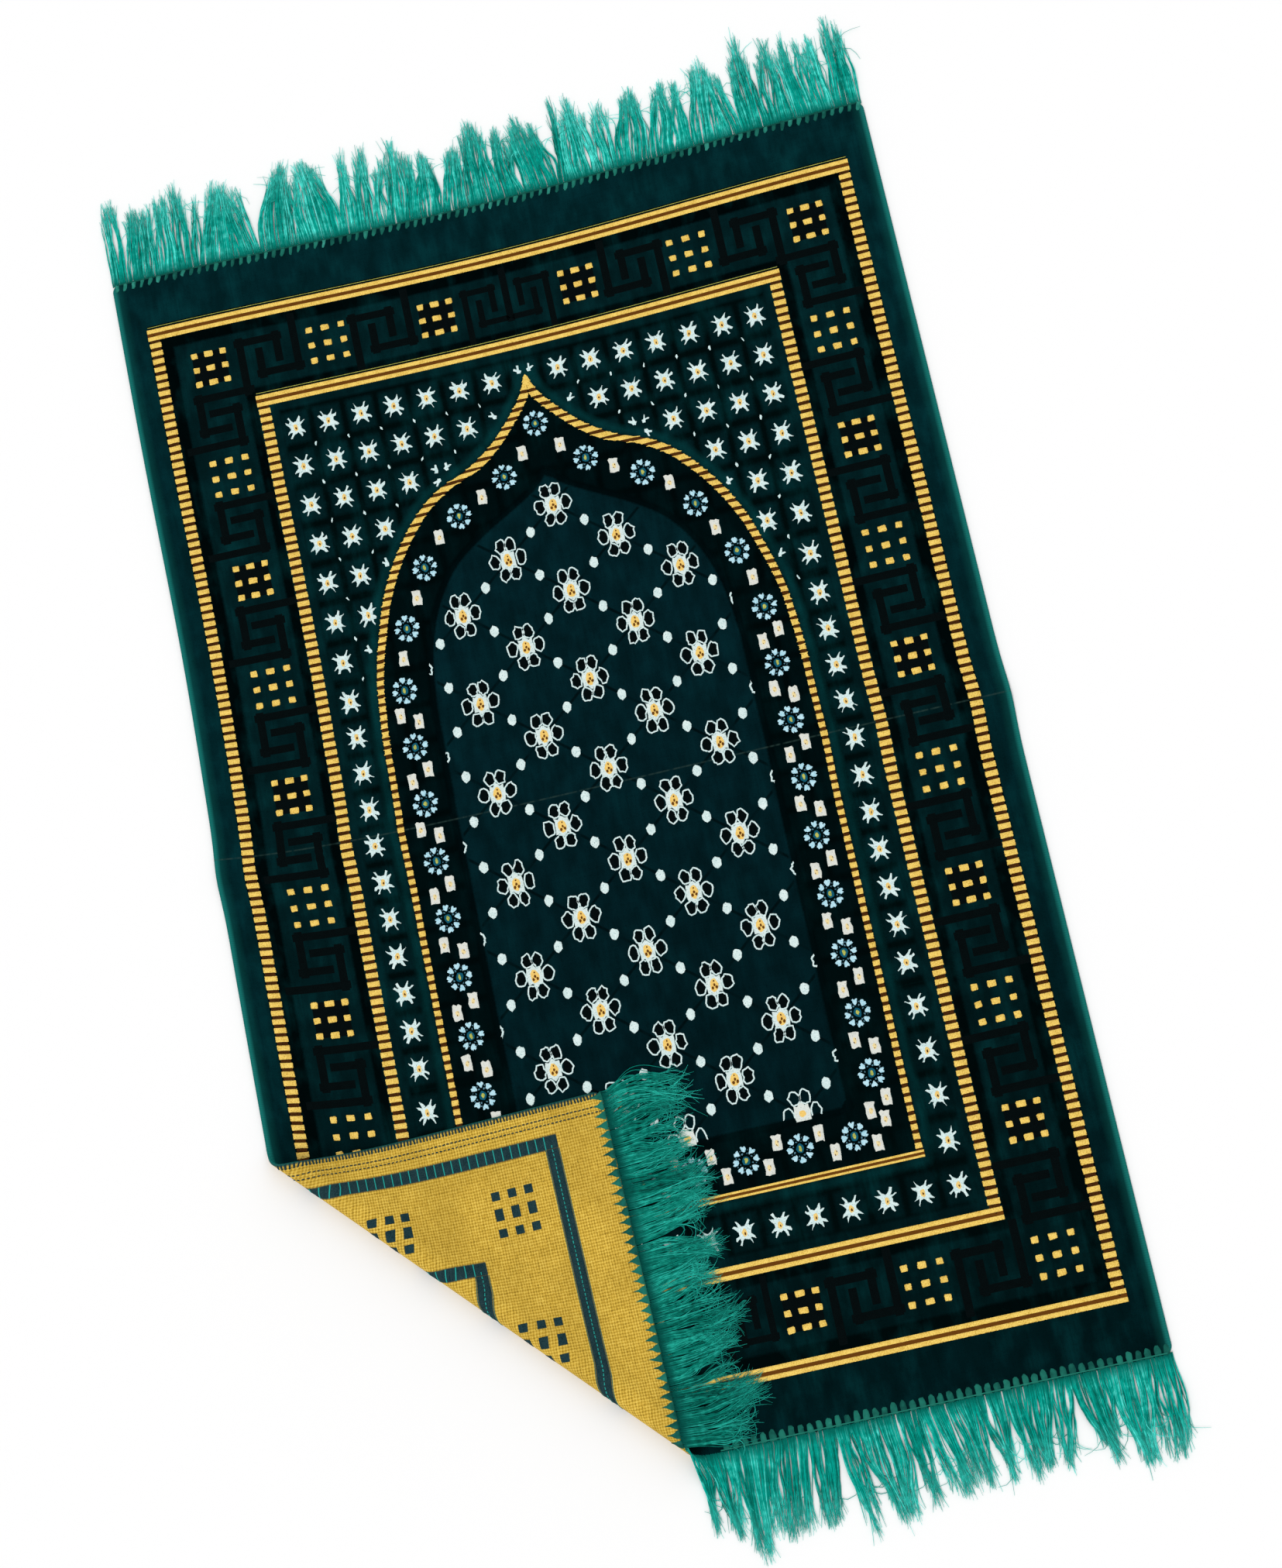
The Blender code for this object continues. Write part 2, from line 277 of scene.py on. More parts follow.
def gather(parts):
    """Joins (points, faces, woven, marks) sets into one, shifting each set's corner numbers."""
    points, woven, groups, marks = [], [], {}, {}
    count = 0
    for part_points, part_faces, part_woven, part_marks in parts:
        for group in part_faces:
            if len(group):
                groups.setdefault(group.shape[1], []).append(group + count)
        for mark, values in part_marks.items():
            marks.setdefault(mark, []).append(values)
        points.append(part_points)
        woven.append(part_woven)
        count += len(part_points)
    faces = [np.concatenate(group) for group in groups.values()]
    marks = {mark: np.concatenate(values) for mark, values in marks.items()}
    return np.concatenate(points), faces, np.concatenate(woven), marks


# %% [markdown]
# ## Finishes as expressions
#
# A finish is a node tree. Writing it out node by node hides the idea, so one small class wraps a socket
# and lets shader maths be written as Python: each operator adds its Math node. Colours go through Mix.


# %% Shader maths
class Wire:
    """A node's output, with arithmetic."""

    def __init__(self, finish, socket):
        self.finish = finish
        self.socket = socket

    def maths(self, operation, *values, clamp=False):
        settings = {"operation": operation, "use_clamp": clamp}
        return self.finish.node("ShaderNodeMath", settings, dict(enumerate(values)))

    def __add__(self, other):
        return self.maths("ADD", self, other)

    __radd__ = __add__

    def __sub__(self, other):
        return self.maths("SUBTRACT", self, other)

    def __rsub__(self, other):
        return self.maths("SUBTRACT", other, self)

    def __mul__(self, other):
        return self.maths("MULTIPLY", self, other)

    __rmul__ = __mul__

    def __abs__(self):
        return self.maths("ABSOLUTE", self)

    def sine(self):
        return self.maths("SINE", self)

    def greater(self, other):
        return self.maths("MAXIMUM", self, other)

    def less(self, other):
        return self.maths("MINIMUM", self, other)

    def above(self, edge, softness):
        """0 below edge, 1 above it, with a straight ramp of that softness."""
        return self.maths("MULTIPLY_ADD", self - edge, 1 / softness, 0.5, clamp=True)

    def wave(self, pitch):
        """A sine of the given pitch in metres, from 0 to 1."""
        return (self * (2 * pi / pitch)).sine() * 0.5 + 0.5


class Finish:
    """A Principled material: constants go straight onto the shader's sockets."""

    def __init__(self, name, **constants):
        self.material = bpy.data.materials.new(name)
        self.material.use_nodes = True
        self.tree = self.material.node_tree
        self.shader = self.tree.nodes["Principled BSDF"]
        self.put(self.shader, {key.replace("_", " "): value for key, value in constants.items()})

    def put(self, node, values):
        for name, value in values.items():
            if isinstance(value, Wire):
                self.tree.links.new(value.socket, node.inputs[name])
            else:
                node.inputs[name].default_value = value

    def node(self, kind, settings, values, out=0):
        """Any node: its settings first, then the values or links of its sockets."""
        node = self.tree.nodes.new(kind)
        for key, setting in settings.items():
            setattr(node, key, setting)
        self.put(node, values)
        return Wire(self, node.outputs[out])

    def mark(self, name, out="Fac"):
        return self.node("ShaderNodeAttribute", {"attribute_name": name}, {}, out)

    def place(self):
        """The woven attribute, whole and as x and y."""
        whole = self.mark("woven", "Vector")
        parts = [self.node("ShaderNodeSeparateXYZ", {}, {0: whole}, axis) for axis in (0, 1)]
        return whole, *parts

    def noise(self, place, scale, detail=2.0):
        return self.node("ShaderNodeTexNoise", {}, {"Vector": place, "Scale": scale, "Detail": detail})

    def streaked(self, place, across, along, detail):
        """Noise with its own scale across the cloth and along it."""
        scaled = self.node("ShaderNodeMapping", {}, {"Vector": place, "Scale": (across, along, 1.0)})
        return self.noise(scaled, 1.0, detail)

    def mix(self, share, first, second):
        return self.node("ShaderNodeMix", {"data_type": "RGBA"}, {0: share, 6: first, 7: second}, out=2)

    def colour(self, colour):
        self.put(self.shader, {"Base Color": colour})

    def bump(self, height, depth):
        """height runs from 0 to 1 and stands for depth metres."""
        values = {"Height": height, "Distance": depth, "Strength": 1.0}
        self.put(self.shader, {"Normal": self.node("ShaderNodeBump", {}, values)})


def rgb(red, green, blue):
    return (red, green, blue, 1.0)


floor_finish = Finish("pale_floor", Base_Color=rgb(0.93, 0.93, 0.93), Roughness=0.9, Specular_IOR_Level=0.1)
floor_mesh.materials.append(floor_finish.material)

# %% [markdown]
# ## The pattern's layout
#
# The pattern is woven in, so it is laid out on the flat cloth by its own measures: two gold frames, a
# border of nine-square blocks between them, a niche with an arch that rises to a point, rosettes along the
# niche, and a lattice of flowers inside. All measures are in metres from the middle of the cloth. The
# loom draws most edges on a fixed pitch of picks, and so do the gold bars here.

# %% Sizes of the pattern
PATTERN_X = 0.0019
BAR = 0.0112
PICK = 0.00760
PICK_LINE = 0.0020
OUTER_FRAME = (-0.3169, 0.3163, -0.5043, 0.5010)
INNER_FRAME = (-0.2328, 0.2366, -0.4205, 0.4176)
LEFT_PULL = 0.022

NICHE_HALF = 0.1843
NICHE_FOOT = -0.3580
NICHE_BAR = 0.0064
FIELD_HALF = 0.1365
FIELD_FOOT = -0.3090
# The arch as (half width, height), from its point down to the upright sides.
ARCH = np.array([
    (0.0, 0.3850), (0.0078, 0.3645), (0.0240, 0.3425), (0.0455, 0.3205), (0.0700, 0.3045), (0.0930, 0.2945),
    (0.1105, 0.2820), (0.1280, 0.2630), (0.1440, 0.2400), (0.1600, 0.2080), (0.1705, 0.1750),
    (0.1785, 0.1420), (0.1825, 0.1050), (NICHE_HALF, 0.0700),
])
FIELD_ARCH = np.array([
    (0.0, 0.2930), (0.0120, 0.2790), (0.0350, 0.2640), (0.0660, 0.2460), (0.0940, 0.2250),
    (0.1180, 0.1900), (0.1310, 0.1500), (FIELD_HALF, 0.1050),
])


def pulled(x, y):
    """How far the left side was pulled towards the head when the corner was turned over: a high power of
    the share across, eased in down the cloth and out again round the fold, since the flap lies slack."""
    share = np.clip(0.5 - x / RUG_WIDTH, 0, 1)
    slack = 1 - smooth(past_fold(x, y)[1] / ROLL_LENGTH)
    return LEFT_PULL * share**8 * smooth((0.40 - y) / 0.65) * slack


def curve_through(table, count):
    """A smooth line through a table's rows: cubic Hermite spans, with slopes by chord length."""
    steps = np.concatenate([[0], np.cumsum(np.linalg.norm(np.diff(table, axis=0), axis=1))])
    slopes = np.gradient(table, steps, axis=0)
    where = np.linspace(0, steps[-1], count)
    span = np.clip(np.searchsorted(steps, where, side="right") - 1, 0, len(steps) - 2)
    width = (steps[span + 1] - steps[span])[:, None]
    t = ((where - steps[span])[:, None]) / width
    first, last = table[span], table[span + 1]
    rise, fall = slopes[span] * width, slopes[span + 1] * width
    return (
        (2 * t**3 - 3 * t**2 + 1) * first + (t**3 - 2 * t**2 + t) * rise
        + (3 * t**2 - 2 * t**3) * last + (t**3 - t**2) * fall
    )


arch_line = curve_through(ARCH, 160)
field_line = curve_through(FIELD_ARCH, 100)


def closed_outline(half, foot):
    """A niche's whole outline: the half line mirrored, with straight sides down to its foot."""
    right = np.concatenate([half, [[half[-1, 0], foot]]])
    left = right[::-1] * (-1, 1)
    return np.concatenate([right, left[:-1]]) + (PATTERN_X, 0)


niche_outline = closed_outline(arch_line, NICHE_FOOT)
field_outline = closed_outline(field_line, FIELD_FOOT)


def depth_inside(points, outline):
    """Signed distance to a closed outline, positive inside: the nearest of its segments gives the distance,
    and the number of times a level ray crosses it gives the sign."""
    best = np.full(len(points), 9.0)
    crossings = np.zeros(len(points), dtype=int)
    px, py = points[:, 0], points[:, 1]
    for (ax, ay), (bx, by) in zip(outline, np.roll(outline, -1, axis=0)):
        dx, dy = bx - ax, by - ay
        t = np.clip(((px - ax) * dx + (py - ay) * dy) / (dx * dx + dy * dy + 1e-12), 0, 1)
        best = np.minimum(best, np.hypot(px - ax - t * dx, py - ay - t * dy))
        spans = (ay > py) != (by > py)
        level = ax + (py - ay) * dx / (dy if abs(dy) > 1e-12 else 1e-12)
        crossings += spans & (px < level)
    return np.where(crossings % 2 == 1, best, -best)


print(f"pattern: the arch's point is {arch_line[0, 1] * 1000:.0f} mm above the middle")

# %% [markdown]
# ## The velvet
#
# Velvet is a woven ground with a standing pile. The cloth here is one closed sheet 2.2 mm thick: an upper
# skin for the pile, a lower one for the woven back, and a rounded rim. It starts as a numpy grid on the
# flat cloth. bmesh then cuts that grid along the fold, because a fold at 45 degrees would otherwise show
# the grid's steps, and the corners are trimmed round. Both skins are laid down by the formula above.

# %% The flat grid, cut along the fold
CELL = 0.0068
CORNER_CUTS = 6
CREASE_CUT_SHIFT = 0.0007
ROLL_CUTS = 22
SETTLE_CUTS = 10


def flat_cloth():
    """Grid points (x, y) and its faces, after the cuts along the crease, the fold and the corners."""
    columns = np.linspace(-HALF_WIDTH, HALF_WIDTH, round(RUG_WIDTH / CELL) + 1)
    rows = np.linspace(-HALF_LENGTH, HALF_LENGTH, round(RUG_LENGTH / CELL) + 1)
    x, y = np.meshgrid(columns, rows)
    index = np.arange(x.size).reshape(x.shape)
    corners = [index[:-1, :-1], index[:-1, 1:], index[1:, 1:], index[1:, :-1]]
    quads = np.stack(corners, axis=-1).reshape(-1, 4)
    mesh = bpy.data.meshes.new("flat")
    mesh.from_pydata(np.stack([x, y, 0 * x], axis=-1).reshape(-1, 3).tolist(), [], quads.tolist())
    sheet = bmesh.new()
    sheet.from_mesh(mesh)
    bpy.data.meshes.remove(mesh)

    def cut(point, normal, trim=False):
        geometry = [*sheet.verts, *sheet.edges, *sheet.faces]
        bmesh.ops.bisect_plane(
            sheet, geom=geometry, dist=1e-6, plane_co=(*point, 0), plane_no=(*normal, 0), clear_outer=trim
        )

    for side_x, side_y in CORNERS:
        centre = (HALF_WIDTH - CORNER_RADIUS, HALF_LENGTH - CORNER_RADIUS) * np.array([side_x, side_y])
        for turn in np.linspace(0, pi / 2, CORNER_CUTS + 2)[1:-1]:
            outward = np.array([side_x * np.cos(turn), side_y * np.sin(turn)])
            cut(centre + outward * CORNER_RADIUS, outward, trim=True)
    for y in (-0.5, 0, 0.5):
        cut((0, y * CREASE_HALF + CREASE_CUT_SHIFT), (0, 1))
    roll = np.linspace(0, ROLL_LENGTH, ROLL_CUTS + 1)
    settle = ROLL_LENGTH + SETTLE_LENGTH * np.linspace(0, 1, SETTLE_CUTS + 1)[1:]
    for s in (*roll, *settle):
        cut(FOLD_START + (s - FOLD_RADIUS) * FOLD_ACROSS, FOLD_ACROSS)
    bmesh.ops.triangulate(sheet, faces=[face for face in sheet.faces if len(face.verts) > 4])
    sheet.verts.index_update()
    flat = np.array([vert.co.to_tuple()[:2] for vert in sheet.verts])
    by_size = {3: [], 4: []}
    for face in sheet.faces:
        by_size[len(face.verts)].append([vert.index for vert in face.verts])
    rim = [(edge.link_loops[0].vert.index, edge.link_loops[0].link_loop_next.vert.index)
           for edge in sheet.edges if edge.is_boundary]
    sheet.free()
    return flat, [np.array(group) for group in by_size.values()], np.array(rim)


# %% Both skins and the rim
RIM_BULGE = 0.0007


def velvet_cloth(pile, back):
    """The closed sheet. The rim between the skins bulges: a third ring at mid height, pushed outward."""
    flat, faces, rim = flat_cloth()
    count = len(flat)
    upper = laid(flat[:, 0], flat[:, 1], HALF_THICK)
    lower = laid(flat[:, 0], flat[:, 1], -HALF_THICK)
    rim_points = np.unique(rim)
    spot = np.zeros(count, dtype=int)
    spot[rim_points] = np.arange(len(rim_points))
    edge_vector = flat[rim[:, 1]] - flat[rim[:, 0]]
    outward = np.zeros((count, 2))
    for end in (0, 1):
        np.add.at(outward, rim[:, end], np.stack([edge_vector[:, 1], -edge_vector[:, 0]], axis=-1))
    bulged = flat[rim_points] + unit(outward[rim_points]) * RIM_BULGE
    middle = laid(bulged[:, 0], bulged[:, 1], np.zeros(len(bulged)))
    a, b = rim[:, 0], rim[:, 1]
    ring_a, ring_b = 2 * count + spot[a], 2 * count + spot[b]
    upper_rim = np.stack([b, a, ring_a, ring_b], axis=-1)
    lower_rim = np.stack([ring_b, ring_a, count + a, count + b], axis=-1)
    groups = [*faces, *[count + group[:, ::-1] for group in faces], upper_rim, lower_rim]
    finish = np.concatenate([np.full(len(group), kind) for group, kind in zip(groups, (0, 0, 1, 1, 0, 1))])
    places = np.concatenate([flat, flat, bulged])
    pattern = places - np.stack([np.zeros(len(places)), pulled(places[:, 0], places[:, 1])], axis=-1)
    return add_piece(
        "velvet_sheet",
        np.concatenate([upper, lower, middle]),
        groups,
        [pile, back],
        "velvet_cloth",
        woven=pattern,
        face_finish=finish,
        niche=depth_inside(pattern, niche_outline),
        field=depth_inside(pattern, field_outline),
    )


# %% [markdown]
# ### The pile
#
# Dark pile takes its colour from how it leans and catches the light: it is nearly black where it stands up
# and teal where it lies over. So the finish starts from a few close tones, one for each zone of the
# pattern, and shifts them by broad soft noise, as painted sheen where the pile lies over and painted shade
# where it stands up and towards the foot, by streaks along the warp, and by a fine grain for single tufts.
# The zones come from straight frames, worked out from the place on the cloth, and from the niche's signed
# distance, which the sheet carries as an attribute.

# %% Pile finish
FLOWER_STEP = (0.0478, 0.03985)
FLOWER_TOP = 0.1758
TEAL = rgb(0.0012, 0.0142, 0.0166)
TEAL_MARGIN = rgb(0.0012, 0.0200, 0.0245)
TEAL_SHEEN = rgb(0.0022, 0.0500, 0.0540)
TEAL_FIELD = rgb(0.0014, 0.0152, 0.0202)
GREEN_BLACK = rgb(0.0003, 0.0032, 0.0033)
BLACK = rgb(0.0002, 0.0014, 0.0017)
RIM_TEAL = rgb(0.0100, 0.1700, 0.1500)
STAR_PITCH = (0.0293, 0.0369)
STAR_TOP = 0.3805
SIDE_STAR_TOP = 0.1234
SIDE_STAR_PITCH = 0.03235
SIDE_STARS = 11
LOW_STAR_PITCH = 0.0371
SIDE_LAST = SIDE_STAR_TOP - SIDE_STAR_PITCH * (SIDE_STARS - 1)
BORDER_BLACK = 0.0080
PILE_SHADE = rgb(0.0001, 0.0010, 0.0012)
PILE_WORN = rgb(0.030, 0.060, 0.052)
CREASE_Y = 0.0024
CREASE_X = 0.0026


def box_mask(x, y, box, softness=0.0008):
    """1 inside a frame's box (left, right, foot, head), by how far the point is inside its nearest side."""
    left, right, foot, head = box
    inside = (x - left).less(right - x).less((y - foot).less(head - y))
    return inside, inside.above(0.0, softness)


def cell_edges(along, first, pitch):
    """0 halfway between two stars, where the lattice is dark, and 1 round each star."""
    phase = (along - first) * (pi / pitch)
    return abs(phase.maths("COSINE", phase)).above(0.30, 0.34)


def pile_finish():
    velvet = Finish("teal_velvet", Roughness=1.0, Specular_IOR_Level=0.0, Sheen_Weight=0.03,
                    Sheen_Roughness=0.4, Sheen_Tint=rgb(0.05, 0.55, 0.55))
    place, x, y = velvet.place()
    ragged = (velvet.noise(place, 620.0, 2.0) - 0.5) * 0.0022
    niche = velvet.mark("niche") + ragged
    field = velvet.mark("field") + ragged
    in_outer, outer = box_mask(x, y, OUTER_FRAME)
    in_inner, inner = box_mask(x, y, INNER_FRAME)
    leaning_sheen = velvet.noise(place, 24.0, 3.0)
    patches = velvet.streaked(place, 70.0, 34.0, 4.0)
    streaks = velvet.streaked(place, 420.0, 26.0, 3.0)
    cross = velvet.streaked(place, 26.0, 420.0, 2.0)
    grain = velvet.streaked(place, 1000.0, 850.0, 1.0)

    ground = velvet.mix(inner, velvet.mix(outer, TEAL_MARGIN, TEAL), GREEN_BLACK)
    shaken_x, shaken_y = x + ragged * 1.6, y + ragged * 1.6
    across = cell_edges(shaken_x, PATTERN_X, STAR_PITCH[0])
    high = y.above(SIDE_STAR_TOP + 0.5 * STAR_PITCH[1], 0.001)
    low = 1 - y.above(SIDE_LAST - 0.5 * LOW_STAR_PITCH, 0.001)
    down = (
        cell_edges(shaken_y, STAR_TOP, STAR_PITCH[1]) * high
        + cell_edges(shaken_y, SIDE_STAR_TOP, SIDE_STAR_PITCH) * (1 - high - low)
        + cell_edges(shaken_y, SIDE_LAST, LOW_STAR_PITCH) * low
    )
    ground = velvet.mix(inner * across * down, ground, TEAL)
    beside_frame = inner * (1 - in_inner.above(BAR + 0.0070, 0.003))
    ground = velvet.mix(beside_frame, ground, TEAL)
    # Painted sheen: a lighter teal band along the outside of the niche's gold line.
    glow = (1 - abs(niche + 0.0040).above(0.0035, 0.005)) * 0.50
    ground = velvet.mix(glow, ground, TEAL_SHEEN)
    band = niche.above(0.0, 0.0008)
    ground = velvet.mix(band * 0.78, ground, BLACK)
    ground = velvet.mix(field.above(0.0, 0.003), ground, TEAL_FIELD)
    edge_line = 1 - abs(field - 0.0015).above(0.0030, 0.002)
    ground = velvet.mix(edge_line * 0.9, ground, BLACK)
    step_x, step_y = FLOWER_STEP
    skewed = (x - PATTERN_X) * (1 / step_x), (y - FLOWER_TOP) * (1 / step_y)
    for diagonal in (skewed[0] + skewed[1], skewed[0] - skewed[1]):
        slanted = abs((diagonal * (pi / 2)).sine())
        thread = (1 - slanted.above(0.060, 0.05)) * field.above(0.006, 0.002) * patches.above(0.42, 0.2)
        ground = velvet.mix(thread * 0.75, ground, BLACK)
    between = outer * (1 - inner)
    near_outer = 1 - (in_outer + ragged).above(BAR + 1.25 * BORDER_BLACK, 0.0024)
    near_inner = (in_inner + ragged).above(-BORDER_BLACK, 0.0024)
    ground = velvet.mix(between * (near_outer + near_inner).less(1.0), ground, BLACK)

    # Painted shade: the pile grows darker towards the foot end.
    footward_shade = ((0.10 - y) * 0.84 + x * 0.20).greater(0.0).less(0.62)
    ground = velvet.mix(footward_shade, ground, GREEN_BLACK)
    # Painted sheen: lighter teal patches where the pile lies over and catches the light.
    lean = (patches * 0.6 + leaning_sheen * 0.6).above(0.70, 0.26) * (0.25 + 0.9 * streaks)
    ground = velvet.mix(lean * (1 - band * 0.70) * 0.42, ground, TEAL_SHEEN)
    # Painted shade: darker patches where the pile stands up.
    flattened_shade = (1.0 - patches).above(0.52, 0.30) * 0.45
    ground = velvet.mix(flattened_shade, ground, GREEN_BLACK)
    shade = 0.16 + 0.76 * grain + 0.52 * streaks + 0.34 * cross
    ground = velvet.mix(shade.less(1.0), PILE_SHADE, ground)

    from_side = HALF_WIDTH - abs(x)
    inward = 1 - (from_side + ragged).above(0.0070, 0.0090)
    rim = 1 - from_side.above(0.0030, 0.0032)
    ribs = y.wave(0.0019) * 0.5 + 0.5
    ground = velvet.mix(inward * 0.20, ground, RIM_TEAL)
    ground = velvet.mix(rim * (0.5 + 0.5 * ribs) * 0.9, ground, RIM_TEAL)
    crease = 1 - abs(y - CREASE_Y).above(0.0006, 0.0008)
    worn = crease * velvet.streaked(place, 200.0, 1.0, 2.0).above(0.45, 0.24)
    ground = velvet.mix(worn * 0.5, ground, PILE_WORN)
    # A faint lengthwise crease, drawn as painted sheen where the pile lies over.
    long_crease_sheen = 1 - abs(x - CREASE_X).above(0.0007, 0.0010)
    ground = velvet.mix(long_crease_sheen * lean.greater(0.15) * (1 - band * 0.8) * 0.35, ground, TEAL_SHEEN)
    velvet.colour(ground)
    velvet.bump(grain * 0.6 + streaks * 0.3 + cross * 0.2, 0.0006)
    return velvet.material


# %% [markdown]
# ### The woven back
#
# The back shows the ground weave: gold weft over the warp, so short gold dashes in rows, with slate grey
# where the face has its gold frames. The finish adds a sine for the picks to one for the dashes and breaks
# both up with noise. The frames come from the same boxes as on the face.

# %% Back finish
BACK_GOLD = rgb(0.640, 0.400, 0.042)
BACK_GOLD_DARK = rgb(0.250, 0.150, 0.010)
BACK_GOLD_LIGHT = rgb(0.860, 0.620, 0.120)
BACK_SPECK = rgb(0.090, 0.060, 0.006)
BACK_RIM = rgb(0.005, 0.090, 0.080)
SLATE = rgb(0.010, 0.034, 0.040)
BACK_PICK = 0.0023
BACK_DASH = 0.0024


def back_finish():
    weave = Finish("gold_woven_back", Roughness=0.8, Specular_IOR_Level=0.15)
    place, x, y = weave.place()
    drift = weave.noise(place, 300.0, 2.0) - 0.5
    picks = (y + drift * 0.0014).wave(BACK_PICK)
    dashes = (x + drift * 0.0014).wave(BACK_DASH)
    grain = weave.noise(place, 1100.0, 2.0)
    slub = weave.streaked(place, 110.0, 520.0, 2.0)
    warp = weave.streaked(place, 520.0, 60.0, 2.0)
    broad = weave.noise(place, 22.0, 2.0)
    relief = 0.30 * picks + 0.30 * dashes + 0.55 * grain
    level = relief * 0.75 + slub * 0.40 + warp * 0.22
    gold = weave.mix(level.above(0.60, 0.34), BACK_GOLD_DARK, BACK_GOLD)
    gold = weave.mix(level.above(0.88, 0.30), gold, BACK_GOLD_LIGHT)
    gold = weave.mix((broad - 0.40).less(0.22), gold, BACK_GOLD_DARK)
    specks = weave.noise(place, 700.0, 1.0).above(0.735, 0.03)
    gold = weave.mix(specks * 0.8, gold, BACK_SPECK)
    in_outer, outer = box_mask(x, y, OUTER_FRAME)
    in_inner, inner = box_mask(x, y, INNER_FRAME)
    frames = outer * (1 - in_outer.above(BAR, 0.0008)) + inner * (1 - in_inner.above(BAR, 0.0008))
    colour = weave.mix(frames * 0.92, gold, SLATE)
    rim = 1 - (HALF_WIDTH - abs(x)).above(0.0012, 0.0016)
    weave.colour(weave.mix(rim, colour, BACK_RIM))
    weave.bump(relief, 0.0006)
    return weave.material


# %% The sheet itself
velvet_sheet = velvet_cloth(pile_finish(), back_finish())
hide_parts("rug_cloth")

# %% [markdown]
# ## Tufts of the pattern
#
# Bright pile on dark pile has crisp edges, so each motif is a low raised pad of its own colour instead of a
# painted mark. One function raises any outline that can be seen whole from its middle: a ring of points
# below the pile's surface, a shoulder ring drawn in a little, and a crown. Another carries a low rounded
# section along a path, for bars and lines. Motifs that would lie past the fold's start are left out,
# since the folded corner hides them.

# %% Raising outlines and lines
SUNK = 0.0002
FOLD_CLEAR = 0.0015
FACE = 1
BACK = -1
BACK_FROM = 0.4 * ROLL_LENGTH


def seated(x, y, rise, side):
    """A pattern place on the cloth's skin: the pull of the left side is added, then it is laid down."""
    return laid(x, y + pulled(x, y), side * (HALF_THICK + rise))


def past_start(x, y):
    return past_fold(*eased(x, y + pulled(x, y)))[1]


def in_view(outlines, side):
    """Which outlines show: on the face those wholly before the fold, on the back those past it."""
    s = past_start(outlines[..., 0], outlines[..., 1])
    return (s < -FOLD_CLEAR if side == FACE else s > BACK_FROM).all(axis=1)


def raise_outlines(outlines, rise, draw_in, side=FACE, crown=1.25, **marks):
    """Pads from outlines (count, points, 2), counter-clockwise. Each point moves square to its outline by
    draw_in for the shoulder ring at height rise; the crown is at the middle, crown times as high."""
    shown = in_view(outlines, side)
    outlines = outlines[shown]
    count, points = outlines.shape[:2]
    run = np.roll(outlines, -1, axis=1) - np.roll(outlines, 1, axis=1)
    normal = unit(np.stack([run[..., 1], -run[..., 0]], axis=-1))
    shoulder = outlines - normal * draw_in
    middle = outlines.mean(axis=1, keepdims=True)
    flat = np.concatenate([outlines, shoulder, middle], axis=1)
    heights = np.concatenate([np.full(points, -SUNK), np.full(points, rise), [rise * crown]])
    world = seated(flat[..., 0], flat[..., 1], heights[None, :], side).reshape(-1, 3)
    first = np.arange(count)[:, None] * (2 * points + 1)
    here = np.arange(points)
    there = np.roll(here, -1)
    walls = np.stack([here, there, points + there, points + here], axis=-1)
    fan = np.stack([points + here, points + there, np.full(points, 2 * points)], axis=-1)
    walls = (first[:, :, None] + walls[None]).reshape(-1, 4)
    fan = (first[:, :, None] + fan[None]).reshape(-1, 3)
    faces = [walls, fan, first + here[None, ::-1]]
    if side == BACK:
        faces = [group[:, ::-1] for group in faces]
    spread = {mark: np.repeat(np.broadcast_to(values, shown.shape)[shown], 2 * points + 1)
              for mark, values in marks.items()}
    spread["core"] = np.tile(np.repeat((0.0, 1.0), (points, points + 1)), count)
    return world, faces, flat.reshape(-1, 2), spread


def carry_line(first_edge, second_edge, rise, side=FACE, shoulder=0.14, **marks):
    """A low rounded bar between two edges (count, 2): five points across, closed underneath and at its
    ends. Stations past the fold's start, or on the back before it, are left out."""
    shown = in_view((first_edge[:, None] + second_edge[:, None]) / 2, side)
    first_edge, second_edge = first_edge[shown], second_edge[shown]
    shares = np.array([0.0, shoulder, 0.5, 1 - shoulder, 1.0])
    lifts = np.array([-SUNK, 0.8 * rise, rise, 0.8 * rise, -SUNK])
    flat = first_edge[:, None] * (1 - shares)[None, :, None] + second_edge[:, None] * shares[None, :, None]
    stations = len(flat)
    world = seated(flat[..., 0], flat[..., 1], lifts[None, :], side).reshape(-1, 3)
    woven = flat.reshape(-1, 2)
    spread = {mark: np.full(len(world), value) for mark, value in marks.items()}
    spread["core"] = np.tile((0.0, 1.0, 1.0, 1.0, 0.0), stations)
    if stations < 2:
        return world[:0], [], woven[:0], {mark: values[:0] for mark, values in spread.items()}
    here = np.arange(5)
    there = np.roll(here, -1)
    row = 5 * np.arange(stations - 1)[:, None]
    quads = np.stack([row + here, row + there, row + 5 + there, row + 5 + here], axis=-1).reshape(-1, 4)
    caps = np.stack([here[::-1], 5 * (stations - 1) + here])
    along = first_edge[1] - first_edge[0]
    over = second_edge[0] - first_edge[0]
    leftward = along[0] * over[1] - along[1] * over[0] > 0
    if leftward == (side == FACE):
        quads, caps = quads[:, ::-1], caps[:, ::-1]
    return world, [quads, caps], woven, spread


def straight(start, end, half, step):
    """The two edges of a straight line of that half width, with a station every step or so."""
    start, end = np.asarray(start, dtype=float), np.asarray(end, dtype=float)
    along = unit(end - start)
    across = np.array([-along[1], along[0]]) * half
    t = np.linspace(0, 1, max(2, round(np.linalg.norm(end - start) / step) + 1))[:, None]
    line = start * (1 - t) + end * t
    return line - across, line + across


